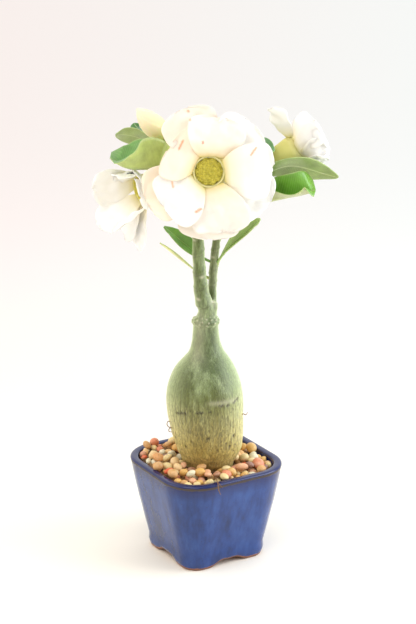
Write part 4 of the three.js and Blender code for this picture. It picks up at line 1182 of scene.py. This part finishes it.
# Petals as (angle, own values) over what their whorl shares.
FLOWERS = {
    "front": dict(
        throat=(1.9, -23, 232), axis=(0.04, -1, 0.1), start=(-2.9, 2.8, 212),
        whorls=[
            (dict(
                root=OUTER_ROOT, length=28, half_width=17, rise=(12, -12), cup=0.1, tilt=0.1, ruffle=0.9,
            ), [
                (-90, dict(length=29, rise=(10, -12), tint=0.5)),
                (-30, dict(length=29, half_width=15, rise=(4, -12), tint=0)),
                (48, dict(length=26.5, half_width=15, tint=0.2)),
                (112, dict(half_width=15.5, tint=0.55)),
                (204, dict(length=29, half_width=15, rise=(14, -4), tint=0.9)),
            ]),
            (dict(
                root=INNER_ROOT, length=25, half_width=16, rise=(52, -30), ruffle=1, cup=0.12, tilt=0.12,
            ), [
                (-76, dict(length=27, rise=(40, -30), tint=0.45)),
                (2, dict(length=28, tint=0.25)),
                (80, dict(length=24, rise=(60, -40), tint=0.6)),
                (146, dict(length=18, tint=0.8)),
                (218, dict(length=24, rise=(44, -20), tint=0.1)),
            ]),
        ],
    ),
    "left": dict(
        throat=(-35.2, -8.6, 218.5), axis=(-0.84, -0.56, -0.2), start=(-7, 5.2, 209),
        whorls=[
            (dict(root=OUTER_ROOT, length=27, half_width=11, rise=(34, 4), cup=0.15, ruffle=1), [
                (-100, dict(length=28, half_width=9, rise=(18, 12))),
                (-70, dict(length=28, half_width=12, rise=(66, 84))),
                (40, dict(length=10, rise=(40, 50))),
                (92, dict(length=16, half_width=9, rise=(66, 78))),
                (160, dict(length=25, rise=(64, 84))),
            ]),
            (dict(root=INNER_ROOT, length=21, half_width=9, rise=(62, 20), ruffle=1.2, cup=0.15), [
                (-120, dict(length=26, rise=(22, 12))),
                (-130, dict(length=27, half_width=10, rise=(56, 66))),
                (8, dict(length=9.5, rise=(66, 64))),
                (110, dict(length=12, rise=(68, 70))),
            ]),
        ],
    ),
    "right": dict(
        throat=(50.4, 3, 239.15), axis=(0.86, 0.2, 0.42), start=(11.6, 7.6, 211.6),
        whorls=[
            (dict(root=OUTER_ROOT, length=18, half_width=10.5, rise=(40, 24), cup=0.15, ruffle=1), [
                (100, dict(length=21, half_width=6.5, rise=(-14, 4), tilt=0.6)),
                (165, dict(length=17, rise=(60, 66))),
                (236, dict(length=15, rise=(66, 74))),
                (-56, dict(length=14, rise=(64, 74))),
                (20, dict(length=13, rise=(52, 60))),
            ]),
            (dict(root=INNER_ROOT, length=17, half_width=9.5, rise=(60, 50), ruffle=1.2, cup=0.15), [
                (136, dict(length=17, half_width=11, rise=(50, 60))),
                (197, dict(length=15, rise=(66, 70))),
                (341, dict(length=12, rise=(66, 70))),
                (64, dict(length=15)),
            ]),
        ],
    ),
}


def petal_surface(angle, root, length, half_width, rise, ruffle, phase, cup=0.25, tilt=0.16, frill=0.0):
    """A petal's middle surface in the flower's frame, whose +Z is where the flower faces."""
    direction = math.radians(angle)
    outward = np.array([math.cos(direction), math.sin(direction), 0])
    side = np.array([-outward[1], outward[0], 0])
    climbs = np.radians(rise)
    steps = 24
    middles = climbs[0] + (climbs[1] - climbs[0]) * ((np.arange(steps) + 0.5) / steps) ** 0.8
    radii = root[0] + np.concatenate([[0], np.cumsum(np.cos(middles))]) * length / steps
    heights = root[1] + np.concatenate([[0], np.cumsum(np.sin(middles))]) * length / steps
    shares = np.linspace(0, 1, steps + 1)

    def surface(s, t):
        r, h = np.interp(s, shares, radii), np.interp(s, shares, heights)
        e = climbs[0] + (climbs[1] - climbs[0]) * s ** 0.8
        opening = 0.36 + 0.64 * np.sin(np.minimum(1, s / PETAL_WIDEST) * math.pi / 2)
        past = np.maximum(0, s - PETAL_WIDEST) / (1 - PETAL_WIDEST)
        closing = np.sqrt(np.maximum(0.04, 1 - past ** 2.6))
        width = half_width * opening * closing
        wave = ruffle * np.abs(t) ** 1.6 * s * np.sin(7.5 * s + phase + np.where(t > 0, 0, 2.3))
        wave = wave + frill * (np.abs(t) ** 3 + s ** 6) * s * np.sin(17 * s + 5.5 * t + 3 * phase)
        lift = width * (cup * t * t + tilt * t) + wave
        flat = outward * (r - np.sin(e) * lift)[..., None] + side * (width * t)[..., None]
        return flat + np.array([0, 0, 1]) * (h + np.cos(e) * lift)[..., None]

    return surface


def flower_frame(throat, axis):
    """Turns points of a flower's frame, +Z along its axis and Y up, into the plant's frame."""
    z = unit(np.array(axis, float))
    x = unit(np.cross((0, 0, 1), z))
    basis = np.stack([x, np.cross(z, x), z])
    return lambda points: np.asarray(points) @ basis + np.array(throat)


def turned_rings(profile, count, lobe=None):
    """Rings round the axis for a profile of (radius, height)."""
    angles = np.arange(count) / count * math.tau
    rings = []
    for radius, z in profile:
        r = radius * (lobe(angles, z) if lobe else np.ones(count))
        rings.append(np.column_stack([np.cos(angles) * r, np.sin(angles) * r, np.full(count, z)]))
    return np.array(rings)


def stalk_line(throat, axis, start):
    """A flower stalk's line from the branch to the receptacle."""
    forward = unit(np.array(axis, float))
    back = [np.array(throat) - forward * distance for distance in (TUBE_LENGTH + 6, TUBE_LENGTH + 2.2)]
    middle = np.array(start) + (back[0] - np.array(start)) * 0.55 + (0, 0, 1)
    return [start, tuple(middle), tuple(back[0]), tuple(back[1])]


def crumpled(surface, length, half_width, size, seed):
    """The same petal surface with soft dents and rolls up to about size deep, none at its root."""
    draw = np.random.default_rng(seed)
    limits = ((0.35, 0.9), (-0.5, 0.5), (0, math.tau))
    waves = [[draw.uniform(*limit) for limit in limits] for _ in range(5)]

    def dented(s, t):
        points = surface(s, t)
        x, y = half_width * t, length * s
        height = np.zeros_like(x)
        for i, (long, short, phase) in enumerate(waves):
            across, along = (long, short) if i % 2 else (short, long)
            height = height + np.sin(across * x + along * y + phase)
        dent = size * 0.4 * height * np.minimum(1, s * 2)
        return points + across_surface(surface, s, t, 0.02) * dent[..., None]

    return dented


def petal_depth(s, t):
    """A petal's thickness, thin at its sides and tip."""
    rounding = (1 - np.abs(t) ** 4) * (1 - s ** 10)
    return PETAL_EDGE + (PETAL_DEPTH - PETAL_EDGE) * rounding


petal_skin, tree, shader = new_material(
    "soft cream petal", Roughness=0.6, Specular_IOR_Level=0.25, Subsurface_Weight=0.3,
    Subsurface_Scale=0.002, Sheen_Weight=0.1, Sheen_Roughness=0.4,
)
shader.inputs["Subsurface Radius"].default_value = (1.0, 0.9, 0.72)
along = own_share(tree, "along")
across = own_share(tree, "across")
tint = own_share(tree, "tint")
place = object_place(tree)
# The petals are yellow-green at the root, then beige with painted shade near the throat, and cream white
# towards the tip.
root_shade_to_tip = ramp(
    tree, along,
    [(0, "#dcd57e"), (0.05, "#eee2ae"), (0.17, "#fbf4de"), (0.45, "#fefcf7"), (1, "#fefdfa")],
)
warmer = mixed(tree, tint, colour("#f8fbff"), colour("#ffebd6"))
own_tone = vectors(tree, "MULTIPLY", root_shade_to_tip, warmer)
flush = noise(tree, place, 60, 3)
patchy = ranged(tree, flush, (0.44, 0.7), (0, 0.8))
flushed = worked(tree, "MULTIPLY", patchy, tint)
warm = mixed(tree, flushed, own_tone, colour("#fbe0ca"))
# A bruise stains the petals along a short line, and noise frays its edge.
bruise_tree = bpy.data.node_groups.new("petal bruise", "ShaderNodeTree")
for socket_name, socket_kind in (
    ("Tone", "NodeSocketColor"), ("Hue", "NodeSocketColor"), ("From", "NodeSocketVector"),
    ("Along", "NodeSocketVector"), ("Width", "NodeSocketFloat"),
):
    bruise_tree.interface.new_socket(socket_name, in_out="INPUT", socket_type=socket_kind)
bruise_tree.interface.new_socket("Tone", in_out="OUTPUT", socket_type="NodeSocketColor")
given = bruise_tree.nodes.new("NodeGroupInput").outputs
here = object_place(bruise_tree)
reach = vectors(bruise_tree, "SUBTRACT", here, given["From"])
onto = vectors(bruise_tree, "DOT_PRODUCT", reach, given["Along"])
whole = vectors(bruise_tree, "DOT_PRODUCT", given["Along"], given["Along"])
share = worked(bruise_tree, "DIVIDE", onto, whole, clamped=True)
foot = add_node(bruise_tree, "ShaderNodeVectorMath", {0: given["Along"], "Scale": share}, operation="SCALE")
off = vectors(bruise_tree, "DISTANCE", reach, foot.outputs[0])
fray = noise(bruise_tree, here, 900, 3)
frayed = ranged(bruise_tree, fray, (0, 1), (0.2, 1.8))
edge = worked(bruise_tree, "MULTIPLY", off, frayed)
mark = ranged(bruise_tree, edge, (0, given["Width"]), (0.85, 0))
stained = mixed(bruise_tree, mark, given["Tone"], given["Hue"])
shown = bruise_tree.nodes.new("NodeGroupOutput")
bruise_tree.links.new(stained, shown.inputs["Tone"])
# Bruises: both ends, width in millimetres and hue.
BRUISES = [
    ((-9.3, -18.1, 264.2), (-8.2, -28.4, 261.3), 1.2, "#cf9068"),
    ((-12, -24.6, 249.2), (-14.1, -25.6, 245.1), 1, "#e88f5c"),
    ((-1.3, -27.9, 249.4), (-1.3, -27.8, 248.6), 1, "#d8704a"),
    ((26.9, -28.8, 246.3), (24.3, -28.5, 242.4), 0.9, "#e8a070"),
    ((-17.9, -28.9, 227.8), (-17.4, -28.8, 225), 0.9, "#f0b080"),
    ((-2.4, -32, 213.7), (-5.1, -32.1, 212), 1.1, "#e88a50"),
]
tone = warm
for bruise_from, bruise_to, bruise_width, bruise_hue in BRUISES:
    ends = plant_to_row([bruise_from, bruise_to])
    bruise = add_node(
        tree, "ShaderNodeGroup", {
            "Tone": tone, "Hue": colour(bruise_hue), "From": ends[0], "Along": ends[1] - ends[0],
            "Width": bruise_width * MM,
        }, node_tree=bruise_tree,
    )
    tone = bruise.outputs["Tone"]
tree.links.new(tone, shader.inputs["Base Color"])
veins = add_node(tree, "ShaderNodeCombineXYZ", {"X": across, "Y": along})
drawn = stretched(tree, veins.outputs[0], (26, 2.2, 1))
threads = noise(tree, drawn, 1, 3)
emboss(tree, shader, threads, 0.25, 0.0005)

calyx_skin, tree, shader = new_material(
    "green calyx", Roughness=0.5, Specular_IOR_Level=0.4, Subsurface_Weight=0.15, Subsurface_Scale=0.002,
)
place = object_place(tree)
mottle = noise(tree, place, 260, 5)
greens = ramp(tree, mottle, [(0.35, "#7e9445"), (0.7, "#b4c06c")])
tree.links.new(greens, shader.inputs["Base Color"])
emboss(tree, shader, mottle, 0.3, 0.0004)

anther_skin, tree, shader = new_material(
    "felted anthers", Roughness=0.8, Sheen_Weight=0.3, Specular_IOR_Level=0.3,
)
place = object_place(tree)
felt = noise(tree, place, 700, 4)
mustard = ramp(tree, felt, [(0.32, "#d0c746"), (0.68, "#f6ec6c")])
tree.links.new(mustard, shader.inputs["Base Color"])
emboss(tree, shader, felt, 0.6, 0.0005)


def with_shares(part):
    """A part without blade shares, with all of them at 0."""
    points, faces = part
    return points, faces, {key: np.zeros(len(points)) for key in ("along", "across", "under", "tint")}


def anther_grooves(angles, z):
    """Ten shallow grooves down the upper part of the button."""
    return 1 - (0.09 if z > -5 else 0) * (1 - np.cos(10 * angles))


def sepal_depth(s, t):
    """A sepal's thickness, thin at its sides."""
    return 0.35 + 0.5 * (1 - np.abs(t) ** 3)


def sepals(first_angle, root, half_width, rise):
    """Points and faces of five narrow sepals round a foot, in the flower's frame."""
    made = []
    for i in range(5):
        angle = first_angle + i * 72
        sepal = petal_surface(
            angle, root, SEPAL_LENGTH, half_width, rise, ruffle=0, phase=0, cup=0.3, tilt=0,
        )
        made.append(blade(sepal, *SEPAL_GRID, sepal_depth)[:2])
    return made


def join_blades(parts):
    """Blades and their shares as one."""
    points, faces = joined([part[:2] for part in parts])
    return points, faces, {key: np.concatenate([part[2][key] for part in parts]) for key in parts[0][2]}


# The tree covers the button of anthers with short leaning hairs, which hide the gap round it.
FELT_HAIR = 1.7
felt_tree, start, end = node_tree("felt hairs", {
    "Hair": ("NodeSocketObject", None), "Density": ("NodeSocketFloat", 5.5e6),
    "Lean": ("NodeSocketFloat", 0.95), "Seed": ("NodeSocketInt", 4),
    "Finish": ("NodeSocketMaterial", None),
})
roots = add_node(felt_tree, "GeometryNodeDistributePointsOnFaces", {
    "Mesh": start.outputs["Geometry"], "Density": start.outputs["Density"], "Seed": start.outputs["Seed"],
})
strand = add_node(felt_tree, "GeometryNodeObjectInfo", {"Object": start.outputs["Hair"]})
size = add_node(felt_tree, "FunctionNodeRandomValue", {2: 0.6, 3: 1.15}, data_type="FLOAT")
standing = add_node(felt_tree, "GeometryNodeInstanceOnPoints", {
    "Points": roots.outputs["Points"], "Instance": strand.outputs["Geometry"],
    "Rotation": roots.outputs["Rotation"], "Scale": size.outputs[1],
})
other_way = worked(felt_tree, "MULTIPLY", start.outputs["Lean"], -1.0)
least = add_node(felt_tree, "ShaderNodeCombineXYZ", {"X": other_way, "Y": other_way})
most = add_node(
    felt_tree, "ShaderNodeCombineXYZ",
    {"X": start.outputs["Lean"], "Y": start.outputs["Lean"], "Z": math.tau},
)
leans = add_node(
    felt_tree, "FunctionNodeRandomValue", {0: least.outputs[0], 1: most.outputs[0]},
    data_type="FLOAT_VECTOR",
)
leaning = add_node(felt_tree, "GeometryNodeRotateInstances", {
    "Instances": standing.outputs[0], "Rotation": leans.outputs[0], "Local Space": True,
})
strands = add_node(felt_tree, "GeometryNodeRealizeInstances", {"Geometry": leaning.outputs[0]})
both = add_node(felt_tree, "GeometryNodeJoinGeometry")
felt_tree.links.new(strands.outputs[0], both.inputs[0])
felt_tree.links.new(start.outputs["Geometry"], both.inputs[0])
finish = add_node(
    felt_tree, "GeometryNodeSetMaterial",
    {"Geometry": both.outputs[0], "Material": start.outputs["Finish"]},
)
felt_tree.links.new(finish.outputs[0], end.inputs["Geometry"])
hair_points, hair_faces = tube(
    [(0, 0, -0.1), (0, 0, FELT_HAIR * 0.5), (0.25, 0, FELT_HAIR)], [0.17, 0.15, 0.05], 5, 3,
)
hair = mesh_object("felt hair", hair_points * MM, hair_faces, anther_skin)

for name, flower in FLOWERS.items():
    to_plant = flower_frame(flower["throat"], flower["axis"])
    parts = [with_shares(loft(turned_rings(TUBE_OUTSIDE + TUBE_INSIDE, 48)))]
    # The tube is yellow-green, and its lip takes the petal roots' beige painted shade.
    parts[0][2]["along"] = 0.03 * smooth_step(-6, -1, parts[0][0][:, 2])
    for shared, petals in flower["whorls"]:
        for i, (angle, own) in enumerate(petals):
            values = {**shared, "phase": i * 1.7, "frill": 0.35, **own}
            tint = values.pop("tint", 0.12)
            smooth = petal_surface(angle, **values)
            seed = int(angle) % 360
            soft = crumpled(smooth, values["length"], values["half_width"], PETAL_CRUMPLE, seed)
            points, faces, shares = blade(soft, *PETAL_GRID, petal_depth)
            shares["tint"] = np.full(len(points), tint)
            parts.append((points, faces, shares))
    points, faces, shares = join_blades(parts)
    petals_name = f"flower_{name}_petals_cream"
    piece = mesh_object(petals_name, plant_to_row(to_plant(points)), faces, petal_skin, attributes=shares)
    seat(piece, f"flower_{name}_petals", slot="petal")

    button = loft(turned_rings(STAMENS, 60, anther_grooves))
    core = mesh_object("anther core", plant_to_row(to_plant(button[0])), button[1], anther_skin)
    felted = grown_by(felt_tree, core, Hair=hair, Finish=anther_skin)
    seat(object_of(f"flower_{name}_anthers", felted), f"flower_{name}_stamens", slot="stamens")

    cup = [(1.5, -TUBE_LENGTH - 4), (2.9, -TUBE_LENGTH - 2), (3.1, -TUBE_LENGTH + 1.4)]
    parts = [loft(turned_rings(cup, 32))]
    parts += sepals(20, (1.6, -TUBE_LENGTH - 0.6), half_width=2, rise=(58, 84))
    parts = [(to_plant(points), faces) for points, faces in parts]
    line = stalk_line(flower["throat"], flower["axis"], flower["start"])
    parts.append(tube(line, [1.5, 1.3, 1.3, 1.7], 20, 40))
    points, faces = joined(parts)
    piece = mesh_object(f"flower_{name}_calyx", plant_to_row(points), faces, calyx_skin)
    seat(piece, f"flower_{name}_calyx_and_stalk", slot="calyx")

bpy.data.objects.remove(hair)

# ---------------------------------------------------------------- bud
# A bud about to open, its petals rolled round each other in a spiral, on a stalk with five sepals like
# the flowers'.
BUD_BASE = (-18.5, 1, 242)
BUD_TIP = (-37.4, -2, 262.3)
BUD_START = (-3.2, 7, 212)
BUD_RADIUS = 6.2
BUD_POINTS = 72
BUD_PROFILE = [
    (0, 0.26), (0.1, 0.34), (0.25, 0.62), (0.42, 0.94), (0.56, 1), (0.72, 0.86), (0.86, 0.56), (1, 0.12),
]

bud_skin, tree, shader = new_material(
    "rolled bud petals", Roughness=0.5, Specular_IOR_Level=0.35, Subsurface_Weight=0.4,
    Subsurface_Scale=0.004,
)
along = own_share(tree, "along")
hues = ramp(tree, along, [(0, "#b3b955"), (0.25, "#d8d682"), (0.5, "#f4e8bb"), (1, "#fbe6cc")])
tree.links.new(hues, shader.inputs["Base Color"])

bud_axis = np.array(BUD_TIP) - np.array(BUD_BASE)
bud_length = float(np.linalg.norm(bud_axis))
to_plant = flower_frame(BUD_BASE, bud_axis)
levels = smooth_line(BUD_PROFILE, 90)
angles = np.arange(BUD_POINTS) / BUD_POINTS * math.tau
rings = []
for share, size in levels:
    turn = (5 * angles + share * 9) / math.tau % 1
    lap = 0.96 + 0.1 * turn * smooth_step(0.08, 0.4, share)
    r = BUD_RADIUS * size * lap
    height = np.full(BUD_POINTS, share * bud_length)
    rings.append(np.column_stack([np.cos(angles) * r, np.sin(angles) * r, height]))
points, faces = loft(rings)
shares = np.concatenate([np.repeat(levels[:, 0], BUD_POINTS), [0, 1]])
placed = plant_to_row(to_plant(points))
bud = mesh_object("bud_rolled_petals", placed, faces, bud_skin, attributes={"along": shares})
seat(bud, "bud", slot="bud")

forward = unit(bud_axis)
back = [np.array(BUD_BASE) - forward * distance for distance in (5, -1)]
line = [BUD_START, tuple((np.array(BUD_START) + back[0]) / 2), tuple(back[0]), tuple(back[1])]
parts = [loft(to_plant(turned_rings([(1.4, -2.5), (2.6, -0.8), (2.9, 1.6)], 32)))]
for points, faces in sepals(0, (1, -1), half_width=1.9, rise=(52, 80)):
    parts.append((to_plant(points), faces))
parts.append(tube(line, [1.4, 1.2, 1.3, 2.3], 20, 40))
points, faces = joined(parts)
piece = mesh_object("bud_calyx", plant_to_row(points), faces, calyx_skin)
seat(piece, "bud_calyx_and_stalk", slot="calyx")
